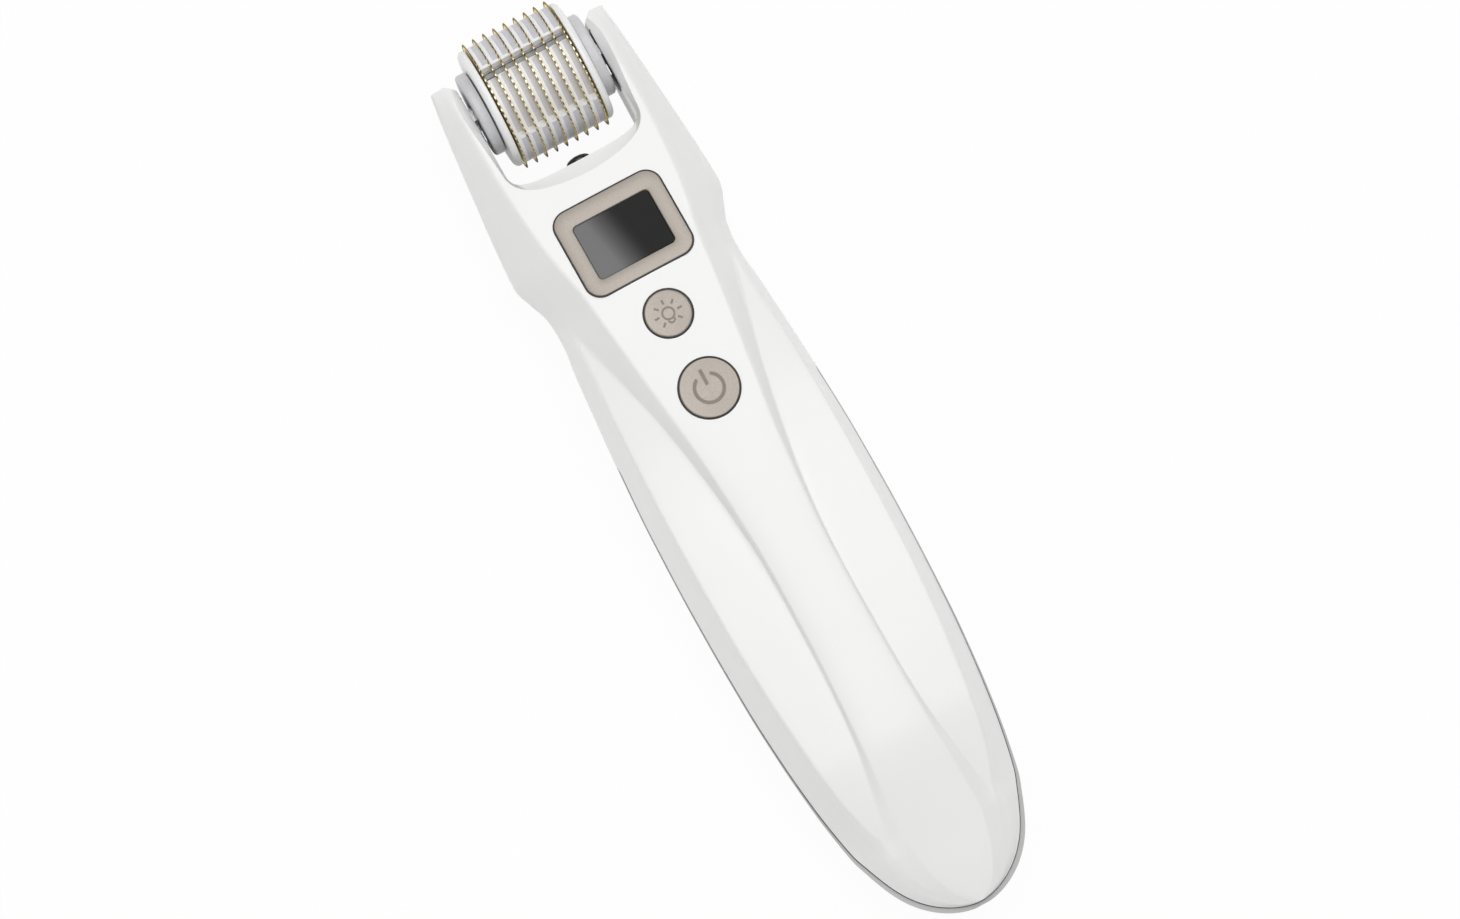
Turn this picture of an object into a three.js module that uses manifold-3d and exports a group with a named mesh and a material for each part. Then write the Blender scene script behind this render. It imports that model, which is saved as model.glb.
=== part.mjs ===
// A hand-held needle-roller facial device: two-part handle with a yoke, display and two buttons,
// and a roller cartridge of nine toothed discs that spins between the yoke's arms.
// Millimetres. +Z is the display side, +Y points to the roller, X runs across.
// The origin is under the middle of the device, on the surface that its belly rests on.
import * as THREE from "three";
import { mergeVertices } from "three/addons/utils/BufferGeometryUtils.js";
import Module from "manifold-3d";

const wasm = await Module();
wasm.setup();

// Handle
const body_length = 185.7; // tail end to arm tips
const head_length = 52; // the part of it from the waist to the arm tips
const grip_half_width = 22.3;
const front_height = 18; // parting plane to the ridge's crease
const rear_depth = 13.5; // parting plane to the belly
const ridge_crown = 0.8;
const rim_width = 0.8; // how far the rear shell stands out round the tail
const tail_flat = 0.1; // cut off the tail's round end
const wall = 2;
const fit_gap = 0.3; // clearance between pieces that seat on each other
const overrun = 3; // how far a cutter runs past the face that it cuts

// Yoke
const axle_to_tip = 7.7; // from the arm tips
const axle_rise = 1.3; // above the parting plane
const arm_inner = 13.9; // middle of the device to an arm's inner face
const crotch_length = 5.4; // of the round bottom of the opening
const crotch_power = 4; // of its curve: 2 is a plain ellipse, more is squarer
const lip_power = 2;
const crotch_to_axle = 18;
const lip_inner = 14.6;
const lip_inner_at_tips = 16.2;
const lip_length = 8;
const lip_to_axle = 22.7; // from the lip's furthest edge
const lip_low_at_crotch = 9.3; // where the lip's slope begins, above the parting plane
const lip_low_at_axle = 5;
const lip_top_at_crotch = 12.6;
const lip_top_at_axle = 6.9;
const tip_flare = 1.9; // corner taken off each arm tip's inner edge
const head_wall = 6.6; // solid between the cavity and the opening

// Roller cartridge
const tooth_radius = 13.3;
const tooth_root_radius = 12.1;
const tooth_count = 60;
const disc_count = 9;
const disc_pitch = 2.2;
const disc_thickness = 0.4;
const core_radius = 9.7;
const core_bore_radius = 6;
const spacer_ring_radius = 10.7;
const block_radius = 12.3;
const block_count = 3;
const block_angle = 47;
const block_turn = 50.5; // middle of the first block, from the display side towards the head
const flange_radius = 12.25;
const flange_width = 1.4;
const flange_chamfer = 0.6;
const hub_radius = 8.5;
const hub_width = 2.1;
const hub_chamfer = 0.4;
const axle_radius = 2;
const lamp_strip_width = 6;
const lamp_strip_thickness = 1;

// Sockets in the arms
const socket_radius = 8.6;
const socket_thickness = 1.2;
const socket_top = 3.9; // above the parting plane
const socket_bottom = 5.2; // below the parting plane
const socket_to_tip = 3.9;
const contact_thickness = 0.2;
const contact_width = 2.2;
const contact_length = 6.5;
const contact_to_axle = 4.5;

// Display
const display_to_axle = 35.2;
const display_width = 22.3;
const display_length = 18.5;
const display_corner = 3.1;
const display_pocket = 1.4;
const window_width = 16.1;
const window_length = 11.9;
const window_drop = 0.3; // its middle, from the display's, towards the tail
const window_corner = 0.9;
const window_thickness = 1;
const window_sink = 0.2;
const screen_width = 21;
const screen_length = 16;
const screen_thickness = 2.2;

// Buttons
const light_button_to_axle = 53;
const light_button_radius = 4.6;
const power_button_to_axle = 69.1;
const power_button_radius = 5.75;
const button_gap = 0.3;
const button_proud = 0.25;
const button_flange = 1.1; // how far a button's collar reaches under the shell
const button_collar = 1; // thickness of that collar
const button_stem_radius = 1.5;
const button_travel = 0.4;
const plunger_radius = 1.4;
const plunger_proud = 0.9;
const plunger_depth = 0.7;
const switch_size = 6;
const switch_height = 3.5;

// Inside the handle
const board_top = 8; // above the parting plane
const board_thickness = 1.2;
const board_inset = 11.3; // from the grip's widest side
const board_to_axle = 28;
const post_radius = 1.9;
const post_inset = 2.2; // from the board's edges
const head_post_to_axle = 46.4;
const battery_radius = 7;
const battery_length = 50;
const battery_to_axle = 64;
const cradle_thickness = 3;
const cradle_half_width = 9;
const cradle_inset = 7;
const motor_radius = 3.5;
const motor_length = 13;
const motor_to_axle = 40;
const motor_drop = 4.5; // axis below the parting plane
const motor_left = 8.5; // end of its can, left of the middle
const motor_shaft_radius = 0.8;
const motor_shaft_length = 4.5;
const weight_radius = 3;
const weight_width = 3;
const lens_radius = 2.5;
const lens_rise = 3.4; // above the parting plane
const lens_proud = 1.8;
const lens_bulge = 1.1;
const lamp_board_size = 5.6;
const lamp_board_thickness = 1;
const charger_width = 9;
const charger_height = 3.3;
const charger_length = 7;
const charger_wall = 0.4;
const charger_tongue = 1;
const charger_round_share = 0.45; // of its height, at the corners
const charger_drop = 3.4; // middle below the parting plane
const charger_to_tail = 1.6;

// Screws
const screw_radius = 1.2;
const screw_head_radius = 2.4;
const screw_head_height = 1.6;
const screw_length = 10.5;
const screw_seat_drop = 5; // below the parting plane
const screw_boss_radius = 3.6;
const tail_screw_inset = 11.8; // from the grip's widest side
const head_screw_inset = 6.9;
const head_screw_to_axle = 31;

// Straight sides that stand for a round
const round_sides = 24;
const bore_sides = 12;
const button_sides = 32;
const arc_steps = 16; // in each curve of the yoke's opening
const corner_steps = 5;
const block_steps = 4; // along the top of a spacer's block
const gap_steps = 5; // along the ring between two blocks
const dome_steps = 4;

// Shares along the handle, which its waist parts in two, and across the size named beside
// each table, by hand
const waist_share = 0.72;
const outline_shares = [ // of grip_half_width; the tail's round end comes on top
  [0, 0.7], [0.022, 0.722], [0.062, 0.738], [0.082, 0.76], [0.102, 0.802], [0.123, 0.837],
  [0.163, 0.89], [0.225, 0.945], [0.285, 0.978], [0.367, 0.997], [0.408, 1], [0.49, 0.99],
  [0.572, 0.955], [0.634, 0.917], [0.676, 0.889], [0.705, 0.861], [0.717, 0.86],
  [0.738, 0.876], [0.759, 0.938], [0.777, 0.991], [0.782, 0.997], [0.82, 0.982],
  [0.883, 0.937], [0.925, 0.906], [0.967, 0.87], [1, 0.834],
];
const tail_round_share = 0.102; // of body_length
const tail_screw_share = 0.183; // of body_length
const board_tail_share = 0.323; // of body_length
const front_cavity_share = 0.086; // where the hollow of each shell begins
const rear_cavity_share = 0.043;
const least_hollow_share = 0.25; // of the outside's width, where the shell is narrow
const crease_shares = [ // of grip_half_width
  [0.1, 0.345], [0.16, 0.32], [0.24, 0.291], [0.32, 0.274], [0.4, 0.276], [0.461, 0.304],
  [0.522, 0.345], [0.583, 0.41], [0.643, 0.476], [0.705, 0.538], [0.736, 0.57], [0.768, 0.623],
  [0.8, 0.667], [0.852, 0.705], [0.885, 0.719], [1, 0.73],
];
const leaf_inner_shares = [ // of grip_half_width
  [0.086, 0.488], [0.121, 0.446], [0.161, 0.395], [0.201, 0.341], [0.241, 0.314],
  [0.281, 0.302], [0.362, 0.292], [0.402, 0.299], [0.463, 0.339], [0.524, 0.413],
  [0.586, 0.511], [0.627, 0.591], [0.669, 0.67], [0.702, 0.743],
];
const leaf_outer_shares = [ // of grip_half_width
  [0.086, 0.502], [0.101, 0.533], [0.121, 0.59], [0.161, 0.676], [0.201, 0.73],
  [0.241, 0.767], [0.281, 0.799], [0.362, 0.838], [0.463, 0.85], [0.524, 0.844],
  [0.586, 0.827], [0.669, 0.794], [0.702, 0.77],
];
const crease_height_shares = [ // of front_height
  [0, 0.07], [0.022, 0.185], [0.043, 0.28], [0.082, 0.411], [0.121, 0.544], [0.16, 0.667],
  [0.2, 0.756], [0.28, 0.839], [0.361, 0.9], [0.461, 0.961], [0.562, 1], [0.643, 1],
  [0.684, 0.978], [0.726, 0.922], [0.768, 0.844], [0.81, 0.761], [0.852, 0.667],
  [0.885, 0.589], [0.939, 0.456], [0.96, 0.383], [0.977, 0.311], [0.991, 0.211], [1, 0.12],
];
const leaf_height_shares = [ // of front_height, at the leaf's outer edge
  [0.086, 0.294], [0.121, 0.417], [0.161, 0.528], [0.201, 0.611], [0.28, 0.689],
  [0.361, 0.722], [0.522, 0.722], [0.587, 0.683], [0.627, 0.611], [0.669, 0.528],
  [0.702, 0.461],
];
const rear_depth_shares = [ // of rear_depth
  [0, 0.3], [0.008, 0.45], [0.022, 0.58], [0.043, 0.7], [0.081, 0.84], [0.135, 0.95],
  [0.205, 1], [0.657, 1], [0.727, 0.97], [0.808, 0.85], [0.889, 0.66], [0.959, 0.5],
  [0.991, 0.32], [1, 0.2],
];
const rim_shares = [ // of rim_width
  [0, 1], [0.06, 0.95], [0.14, 0.62], [0.2, 0.48], [0.3, 0.36], [0.55, 0.25], [0.562, 0.25],
  [0.57, 0], [1, 0],
];
const crown_shares = [[0, 0.3], [0.25, 1], [0.5, 1], [0.7, 0.5], [1, 0.4]]; // of ridge_crown
const station_shares = [ // where the shells' sections are taken
  0.004, 0.009, 0.018, 0.032, 0.055, 0.086, 0.121, 0.161, 0.201, 0.25, 0.31, 0.37, 0.44, 0.5,
  0.56, 0.572, 0.6, 0.64, 0.669, 0.702, 0.717, 0.738, 0.759, 0.777, 0.782, 0.82, 0.852, 0.9,
  0.94, 0.96, 0.977, 0.991, 1,
];
const shoulder_share = 0.6; // of the ridge's half width
const leaf_slope_share = 0.12; // the leaf's rise from its outer to its inner edge
const head_facet_shares = [0.6, 0.76, 0.93]; // where the head's side facet takes its points
const head_facet_swell_share = 0.03; // of front_height
const tail_across_shares = [0.484, 0.677, 0.71, 0.82]; // of the half width, at the round tail
const tail_height_shares = [1, 0.79, 0.75, 0.56];
const knee_across_share = 0.22; // side's knee, from the leaf's edge to the parting edge
const knee_height_share = 0.82;
const belly_across_shares = [0.45, 0.8, 0.965]; // of the half width
const belly_down_shares = [1, 0.86, 0.5];

// Places that follow from the sizes above
const axle_to_tail = body_length - axle_to_tip;
const overall_length = axle_to_tail + tooth_radius;
const tail_y = -overall_length / 2;
const axle_y = tail_y + axle_to_tail;
const parting_z = rear_depth;
const axle_z = parting_z + axle_rise;
const tip_y = tail_y + body_length;
const discs_half_width = (disc_pitch * (disc_count - 1)) / 2;
const flange_inner = discs_half_width + disc_thickness / 2 + fit_gap;
const flange_outer = flange_inner + flange_width;
const hub_inner = flange_outer + fit_gap;
const hub_outer = hub_inner + hub_width;
const crotch_y = axle_y - crotch_to_axle;
const cavity_head_y = crotch_y - head_wall;
const beyond_y = axle_y + tooth_radius;
const motor_y = axle_y - motor_to_axle;
const motor_z = parting_z - motor_drop;
const motor_end = motor_length - motor_left;
const axle_end = arm_inner + socket_thickness - fit_gap;
const board_half_width = grip_half_width - board_inset;
const board_tail_y = tail_y + board_tail_share * body_length;
const board_head_y = axle_y - board_to_axle;
const battery_head_y = axle_y - battery_to_axle;
const battery_tail_y = battery_head_y - battery_length;
const battery_z = parting_z - rear_depth + wall + fit_gap + battery_radius;

// Share of the handle at a distance from the tail end, and the distance at a share
const grip_length = body_length - head_length;
function shareOf(distance) {
  if (distance < grip_length) return (waist_share * distance) / grip_length;
  return waist_share + ((1 - waist_share) * (distance - grip_length)) / head_length;
}

function distanceOf(share) {
  if (share < waist_share) return (grip_length * share) / waist_share;
  return grip_length + (head_length * (share - waist_share)) / (1 - waist_share);
}

// A smooth curve through [share along, share across] stations, without overshoot
function through(stations, across) {
  const last = stations.length - 1;
  const rises = stations.slice(1).map(([x, y], i) => (y - stations[i][1]) / (x - stations[i][0]));
  const slopes = stations.map((station, i) => {
    const before = rises[Math.max(i - 1, 0)];
    const after = rises[Math.min(i, last - 1)];
    return before * after > 0 ? (2 * before * after) / (before + after) : 0;
  });
  return (distance) => {
    const share = THREE.MathUtils.clamp(shareOf(distance), stations[0][0], stations[last][0]);
    const next = stations.findIndex(([x], i) => i > 0 && share <= x);
    const [x0, y0] = stations[next - 1];
    const [x1, y1] = stations[next];
    const width = x1 - x0;
    const t = (share - x0) / width;
    const value = y0 * (1 + 2 * t) * (1 - t) ** 2 + y1 * t ** 2 * (3 - 2 * t);
    const lean = slopes[next - 1] * t * (1 - t) ** 2 - slopes[next] * t ** 2 * (1 - t);
    return across * (value + width * lean);
  };
}

const outlineAt = through(outline_shares, grip_half_width);
const creaseAt = through(crease_shares, grip_half_width);
const leafInnerAt = through(leaf_inner_shares, grip_half_width);
const leafOuterAt = through(leaf_outer_shares, grip_half_width);
const creaseHeightAt = through(crease_height_shares, front_height);
const leafHeightAt = through(leaf_height_shares, front_height);
const rearDepthAt = through(rear_depth_shares, rear_depth);
const rimAt = through(rim_shares, rim_width);
const crownAt = through(crown_shares, ridge_crown);
const leaf_head = distanceOf(leaf_inner_shares.at(-1)[0]);
const leaf_tail = distanceOf(leaf_inner_shares[0][0]);

// Half width of the rear shell at a distance from the tail end, with the tail's round end
function rearHalfWidth(distance) {
  const round = tail_round_share * body_length;
  const left = Math.max(0, 1 - distance / round);
  return outlineAt(distance) * Math.sqrt(1 - left ** 2);
}

// The front shell's outline keeps the rim's width inside the rear shell's
function frontHalfWidth(distance) {
  const rim = rimAt(distance);
  const inside = rearHalfWidth(Math.max(distance - rim, 0));
  return Math.max(inside - rim, inside / 2);
}

function topHeight(distance) {
  return creaseHeightAt(distance) + crownAt(distance);
}

// Half of the front shell's section, from the ridge's middle out to the parting edge
function frontSection(distance) {
  const half = frontHalfWidth(distance);
  const height = creaseHeightAt(distance);
  const between = (a, b, share) => a.clone().lerp(b, share);
  const middle = new THREE.Vector2(0, topHeight(distance));
  const edge = new THREE.Vector2(half, 0);
  if (distance < leaf_tail) {
    const [crease, inner, outer, knee] = tail_across_shares.map(
      (share, i) => new THREE.Vector2(half * share, height * tail_height_shares[i]),
    );
    return [middle, between(middle, crease, 1 / 2), crease, inner, outer, knee, edge];
  }
  const crease = new THREE.Vector2(creaseAt(distance), height);
  const shoulder = new THREE.Vector2(
    crease.x * shoulder_share,
    height + crownAt(distance) * (1 - shoulder_share ** 2),
  );
  const facet = head_facet_shares.map((share) => {
    const swell = 4 * share * (1 - share) * head_facet_swell_share * front_height;
    return between(crease, edge, share).add(new THREE.Vector2(swell, swell / 2));
  });
  if (distance > leaf_head) return [middle, shoulder, crease, ...facet, edge];
  const low = leafHeightAt(distance);
  const outer = new THREE.Vector2(leafOuterAt(distance), low);
  const inner = new THREE.Vector2(leafInnerAt(distance), low);
  inner.y += (outer.x - inner.x) * leaf_slope_share;
  const knee = new THREE.Vector2(
    outer.x + (half - outer.x) * knee_across_share,
    low * knee_height_share,
  );
  return [middle, shoulder, crease, inner, outer, knee, edge];
}

// Half of the rear shell's section, from the belly's middle out to the parting edge
function rearSection(distance) {
  const half = rearHalfWidth(distance);
  const depth = rearDepthAt(distance);
  const round = belly_across_shares.map(
    (share, i) => new THREE.Vector2(half * share, -depth * belly_down_shares[i]),
  );
  return [new THREE.Vector2(0, -depth), ...round, new THREE.Vector2(half, 0)];
}

// A closed body through rings of points that all have the same count. The end rings are
// closed by faces, laid out in the plane that flatten gives.
const seenAlongY = (p) => new THREE.Vector2(p.x, p.z);
const seenAlongZ = (p) => new THREE.Vector2(p.x, p.y);
function loft(rings, flatten = seenAlongY) {
  const count = rings[0].length;
  const faces = [];
  for (let i = 0; i + 1 < rings.length; i++) {
    for (let k = 0; k < count; k++) {
      const a = i * count + k;
      const b = i * count + ((k + 1) % count);
      faces.push(a, b, b + count, a, b + count, a + count);
    }
  }
  const close = (ring, start, forward) => {
    const flat = ring.map(flatten);
    const clockwise = THREE.ShapeUtils.isClockWise(flat);
    for (const face of THREE.ShapeUtils.triangulateShape(flat, [])) {
      const along = THREE.ShapeUtils.isClockWise(face.map((k) => flat[k])) === clockwise;
      const corners = along === forward ? face : [...face].reverse();
      faces.push(...corners.map((k) => start + k));
    }
  };
  close(rings[0], 0, false);
  close(rings.at(-1), (rings.length - 1) * count, true);
  const geometry = new THREE.BufferGeometry().setFromPoints(rings.flat());
  geometry.setIndex(faces);
  return geometry;
}

// manifold-3d solid of a three.js geometry, turned right side out
function solid(geometry) {
  const bare = geometry.clone();
  bare.deleteAttribute("normal");
  bare.deleteAttribute("uv");
  const merged = mergeVertices(bare);
  const vertProperties = merged.attributes.position.array;
  const triVerts = new Uint32Array(merged.index.array);
  const made = new wasm.Manifold(new wasm.Mesh({ numProp: 3, vertProperties, triVerts }));
  if (made.volume() > 0) return made;
  triVerts.reverse();
  return new wasm.Manifold(new wasm.Mesh({ numProp: 3, vertProperties, triVerts }));
}

function geometryOf(body) {
  const mesh = body.getMesh();
  const geometry = new THREE.BufferGeometry();
  geometry.setAttribute("position", new THREE.BufferAttribute(mesh.vertProperties, mesh.numProp));
  geometry.setIndex(new THREE.BufferAttribute(mesh.triVerts, 1));
  const faceted = geometry.toNonIndexed();
  faceted.computeVertexNormals();
  return faceted;
}

function box(width, length, height, x, y, z) {
  return solid(new THREE.BoxGeometry(width, length, height).translate(x, y, z));
}

// A round bar along Z from z0 to z1
function upright(radius, x, y, z0, z1, sides = round_sides) {
  const bar = new THREE.CylinderGeometry(radius, radius, z1 - z0, sides);
  return solid(bar.rotateX(Math.PI / 2).translate(x, y, (z0 + z1) / 2));
}

// A round bar along X from x0 to x1, with a corner of its section facing up
function crossways(radius, x0, x1, y, z, sides = round_sides) {
  const bar = new THREE.CylinderGeometry(radius, radius, x1 - x0, sides);
  return solid(bar.rotateZ(Math.PI / 2).translate((x0 + x1) / 2, y, z));
}

// The same, right across the handle
function acrossAll(radius, y, z, sides) {
  return crossways(radius, -grip_half_width, grip_half_width, y, z, sides);
}

// A round bar along Y from y0 to y1
function lengthways(radius, y0, y1, x, z, sides = round_sides) {
  return solid(new THREE.CylinderGeometry(radius, radius, y1 - y0, sides).translate(x, (y0 + y1) / 2, z));
}

function roundedRectangle(width, length, radius, middle_y = 0) {
  const x = width / 2 - radius;
  const low = middle_y - length / 2 + radius;
  const high = middle_y + length / 2 - radius;
  return new THREE.Shape()
    .moveTo(x + radius, low)
    .lineTo(x + radius, high)
    .absarc(x, high, radius, 0, Math.PI / 2)
    .absarc(-x, high, radius, Math.PI / 2, Math.PI)
    .absarc(-x, low, radius, Math.PI, (Math.PI * 3) / 2)
    .absarc(x, low, radius, (Math.PI * 3) / 2, Math.PI * 2);
}

// A plate of the given shape, from z0 to z1
function plate(shape, z0, z1) {
  const options = { depth: z1 - z0, bevelEnabled: false, curveSegments: corner_steps };
  return new THREE.ExtrudeGeometry(shape, options).translate(0, 0, z0);
}

const group = new THREE.Group();
function add(name, body, material, turn = null) {
  const geometry = body.isBufferGeometry ? body : geometryOf(body);
  const mesh = new THREE.Mesh(geometry, material);
  mesh.name = name;
  if (turn) mesh.applyMatrix4(turn);
  group.add(mesh);
}

const finish = (color, roughness, metalness = 0) => () =>
  new THREE.MeshStandardMaterial({ color, roughness, metalness });
const whiteGloss = finish(0xf3f3f2, 0.25);
const rearGloss = finish(0xcfcfce, 0.3);
const champagne = finish(0xbfb2a7, 0.35, 0.8);
const darkGlass = finish(0x2c2c2e, 0.08);
const gold = finish(0xc39d3e, 0.3, 1);
const pearl = finish(0xe4e1dc, 0.2);
const satinGrey = finish(0xb4b4b6, 0.35, 0.4);
const blackPlastic = finish(0x2a2a2c, 0.5);
const steel = finish(0xc4c4c6, 0.3, 1);
const boardGreen = finish(0x1d5c3a, 0.6);
const cellBlue = finish(0x3b5f8f, 0.45);

// Both halves of a section as one ring in space, closed along the parting plane or beyond it
function ringOf(section, y, close_z) {
  const right = section.map((p) => new THREE.Vector3(p.x, y, p.y));
  const left = section.slice(1).map((p) => new THREE.Vector3(-p.x, y, p.y));
  const ring = [...right];
  ring.at(-1).z = close_z;
  left.at(-1).z = close_z;
  return [...ring, ...left.reverse()];
}

const stations = station_shares.map(distanceOf);

// A shell's outside, from a distance off the tail end to the arm tips
function shellBody(sectionAt, close_z, first) {
  const between = stations.filter((distance) => distance > first);
  const rings = [first, ...between].map((distance) => {
    const ring = ringOf(sectionAt(distance), tail_y + distance, close_z - parting_z);
    return ring.map((p) => p.setZ(p.z + parting_z));
  });
  return solid(loft(rings));
}

// The hollow inside a shell: its section drawn in by the wall, past the parting plane
function shellHollow(sectionAt, first, side) {
  const last = cavity_head_y - tail_y;
  const between = stations.filter((distance) => distance > first && distance < last);
  const rings = [first, ...between, last].map((distance) => {
    const drawn = sectionAt(distance).map(
      (p) => new THREE.Vector2(Math.max(p.x - wall, p.x * least_hollow_share), p.y - side * wall),
    );
    drawn[0].x = 0;
    drawn.at(-2).y += (side * wall) / 2;
    const ring = ringOf(drawn, tail_y + distance, -side * overrun);
    return ring.map((p) => p.setZ(p.z + parting_z));
  });
  return solid(loft(rings));
}

// The opening between the arms: round at the bottom, flared at the arm tips
function openingOutline(half, length, bottom_y, power) {
  const centre_y = bottom_y + length;
  const points = [];
  for (let i = 0; i <= arc_steps; i++) {
    const angle = (Math.PI * i) / arc_steps;
    const across = Math.cos(angle);
    const down = Math.sin(angle);
    const x = half * Math.sign(across) * Math.abs(across) ** (2 / power);
    points.push(new THREE.Vector2(x, centre_y - length * down ** (2 / power)));
  }
  return points;
}

const crotchOutline = () => openingOutline(arm_inner, crotch_length, crotch_y, crotch_power);
const lipOutline = () => openingOutline(lip_inner, lip_length, axle_y - lip_to_axle, lip_power);

function yokeOpening() {
  const shape = new THREE.Shape([
    ...crotchOutline().reverse(),
    new THREE.Vector2(arm_inner, tip_y - tip_flare),
    new THREE.Vector2(arm_inner + tip_flare, tip_y),
    new THREE.Vector2(arm_inner + tip_flare, beyond_y),
    new THREE.Vector2(-arm_inner - tip_flare, beyond_y),
    new THREE.Vector2(-arm_inner - tip_flare, tip_y),
    new THREE.Vector2(-arm_inner, tip_y - tip_flare),
  ]);
  return solid(plate(shape, -overrun, parting_z + front_height + overrun));
}

// The sloped lip round the opening's upper edge, widest behind the drum and narrowest at the arms' roots
function yokeLip() {
  const level = (y, at_crotch, at_axle) =>
    parting_z + at_crotch + ((at_axle - at_crotch) * (y - crotch_y)) / crotch_to_axle;
  const lower = crotchOutline();
  const upper = lipOutline();
  const all = (points, half) => [
    new THREE.Vector2(half, beyond_y), ...points, new THREE.Vector2(-half, beyond_y),
  ];
  const low = all(lower, arm_inner).map((p) => {
    return new THREE.Vector3(p.x, p.y, level(p.y, lip_low_at_crotch, lip_low_at_axle));
  });
  const high = all(upper, lip_inner_at_tips).map((p, i) => {
    const top = level(p.y, lip_top_at_crotch, lip_top_at_axle);
    return new THREE.Vector3(p.x, p.y, top).lerp(low[i], -1 / 2);
  });
  return solid(loft([low, high], seenAlongZ));
}

// A socket's plate in an arm, or with a clearance the pocket that it lies in
function socketPiece(side, radius, depth, clearance) {
  const inner = side * arm_inner;
  const outer = side * (arm_inner + depth);
  const ends = [Math.min(inner, outer), Math.max(inner, outer)];
  const top = parting_z + socket_top + clearance;
  const bottom = parting_z - socket_bottom - clearance;
  const round = crossways(radius, ends[0], ends[1], axle_y, axle_z);
  const slab = box(
    grip_half_width * 2, radius * 2, top - bottom, 0, axle_y, (top + bottom) / 2,
  );
  const inside = box(
    grip_half_width * 2, overall_length, overall_length,
    0, tip_y - socket_to_tip + clearance - overall_length / 2, 0,
  );
  return round.intersect(slab).intersect(inside);
}

// Places on the shells' top surface
function topPlace(distance) {
  const step = body_length / stations.length / 2;
  const rise = topHeight(distance + step) - topHeight(distance - step);
  const place = new THREE.Matrix4().makeRotationX(Math.atan2(rise, step * 2));
  return place.setPosition(0, tail_y + distance, parting_z + topHeight(distance));
}

const displayPlace = topPlace(axle_to_tail - display_to_axle);

const moved = (body, place) => body.transform(place.toArray());

const screwPlaces = [];
for (const [end, x, y] of [
  ["tail", grip_half_width - tail_screw_inset, tail_y + tail_screw_share * body_length],
  ["head", grip_half_width - head_screw_inset, axle_y - head_screw_to_axle],
]) {
  screwPlaces.push({ name: "screw_" + end + "_left", x: -x, y }, { name: "screw_" + end + "_right", x, y });
}

const buttons = [
  { name: "light", radius: light_button_radius, y: axle_y - light_button_to_axle },
  { name: "power", radius: power_button_radius, y: axle_y - power_button_to_axle },
];

// The room under the shell's skin at a button: the lowest of its ceiling over the collar
function buttonSeat({ radius, y }) {
  const reach = radius + button_flange;
  const distance = y - tail_y;
  const ceiling = Math.min(creaseHeightAt(distance - reach), creaseHeightAt(distance + reach));
  return { reach, top: parting_z + ceiling - wall - fit_gap };
}

function frontShell() {
  let hollow = shellHollow(frontSection, distanceOf(front_cavity_share), 1);
  const keep = (body) => {
    hollow = hollow.subtract(body);
  };
  for (const { x, y } of screwPlaces) {
    keep(upright(screw_boss_radius, x, y, parting_z + fit_gap / 2, parting_z + front_height));
  }
  // Posts that the circuit board is fastened to
  for (const side of [-1, 1]) {
    for (const y of [board_tail_y + post_inset, axle_y - head_post_to_axle]) {
      const x = side * (board_half_width - post_inset);
      const low = parting_z + board_top + fit_gap;
      keep(upright(post_radius, x, y, low, parting_z + front_height, bore_sides));
    }
  }
  let shell = shellBody(frontSection, parting_z + fit_gap / 2, rim_width + tail_flat).subtract(hollow);
  shell = shell.subtract(yokeOpening()).subtract(yokeLip());
  for (const side of [-1, 1]) {
    shell = shell.subtract(socketPiece(side, socket_radius + fit_gap, socket_thickness + fit_gap, fit_gap));
  }
  for (const { x, y } of screwPlaces) {
    const top = parting_z - screw_seat_drop + screw_length + fit_gap;
    const radius = screw_radius + fit_gap;
    shell = shell.subtract(upright(radius, x, y, parting_z - overrun, top, bore_sides));
  }
  for (const button of buttons) {
    const { reach, top } = buttonSeat(button);
    const bottom = top - button_collar - button_travel - fit_gap;
    const above = parting_z + front_height + overrun;
    const hole = upright(button.radius + button_gap, 0, button.y, bottom, above, button_sides);
    const under = upright(reach + fit_gap, 0, button.y, bottom, top, button_sides);
    shell = shell.subtract(hole).subtract(under);
  }
  const pocket = roundedRectangle(
    display_width + fit_gap * 2, display_length + fit_gap * 2, display_corner + fit_gap,
  );
  const sight = windowShape(fit_gap);
  shell = shell.subtract(moved(solid(plate(pocket, -display_pocket, overrun)), displayPlace));
  shell = shell.subtract(moved(solid(plate(sight, -wall * 2, overrun)), displayPlace));
  shell = shell.subtract(moved(displayScreen(fit_gap), displayPlace));
  const lens = lengthways(
    lens_radius + fit_gap, cavity_head_y - overrun, crotch_y + overrun, 0, parting_z + lens_rise,
  );
  return shell.subtract(lens);
}

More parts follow.
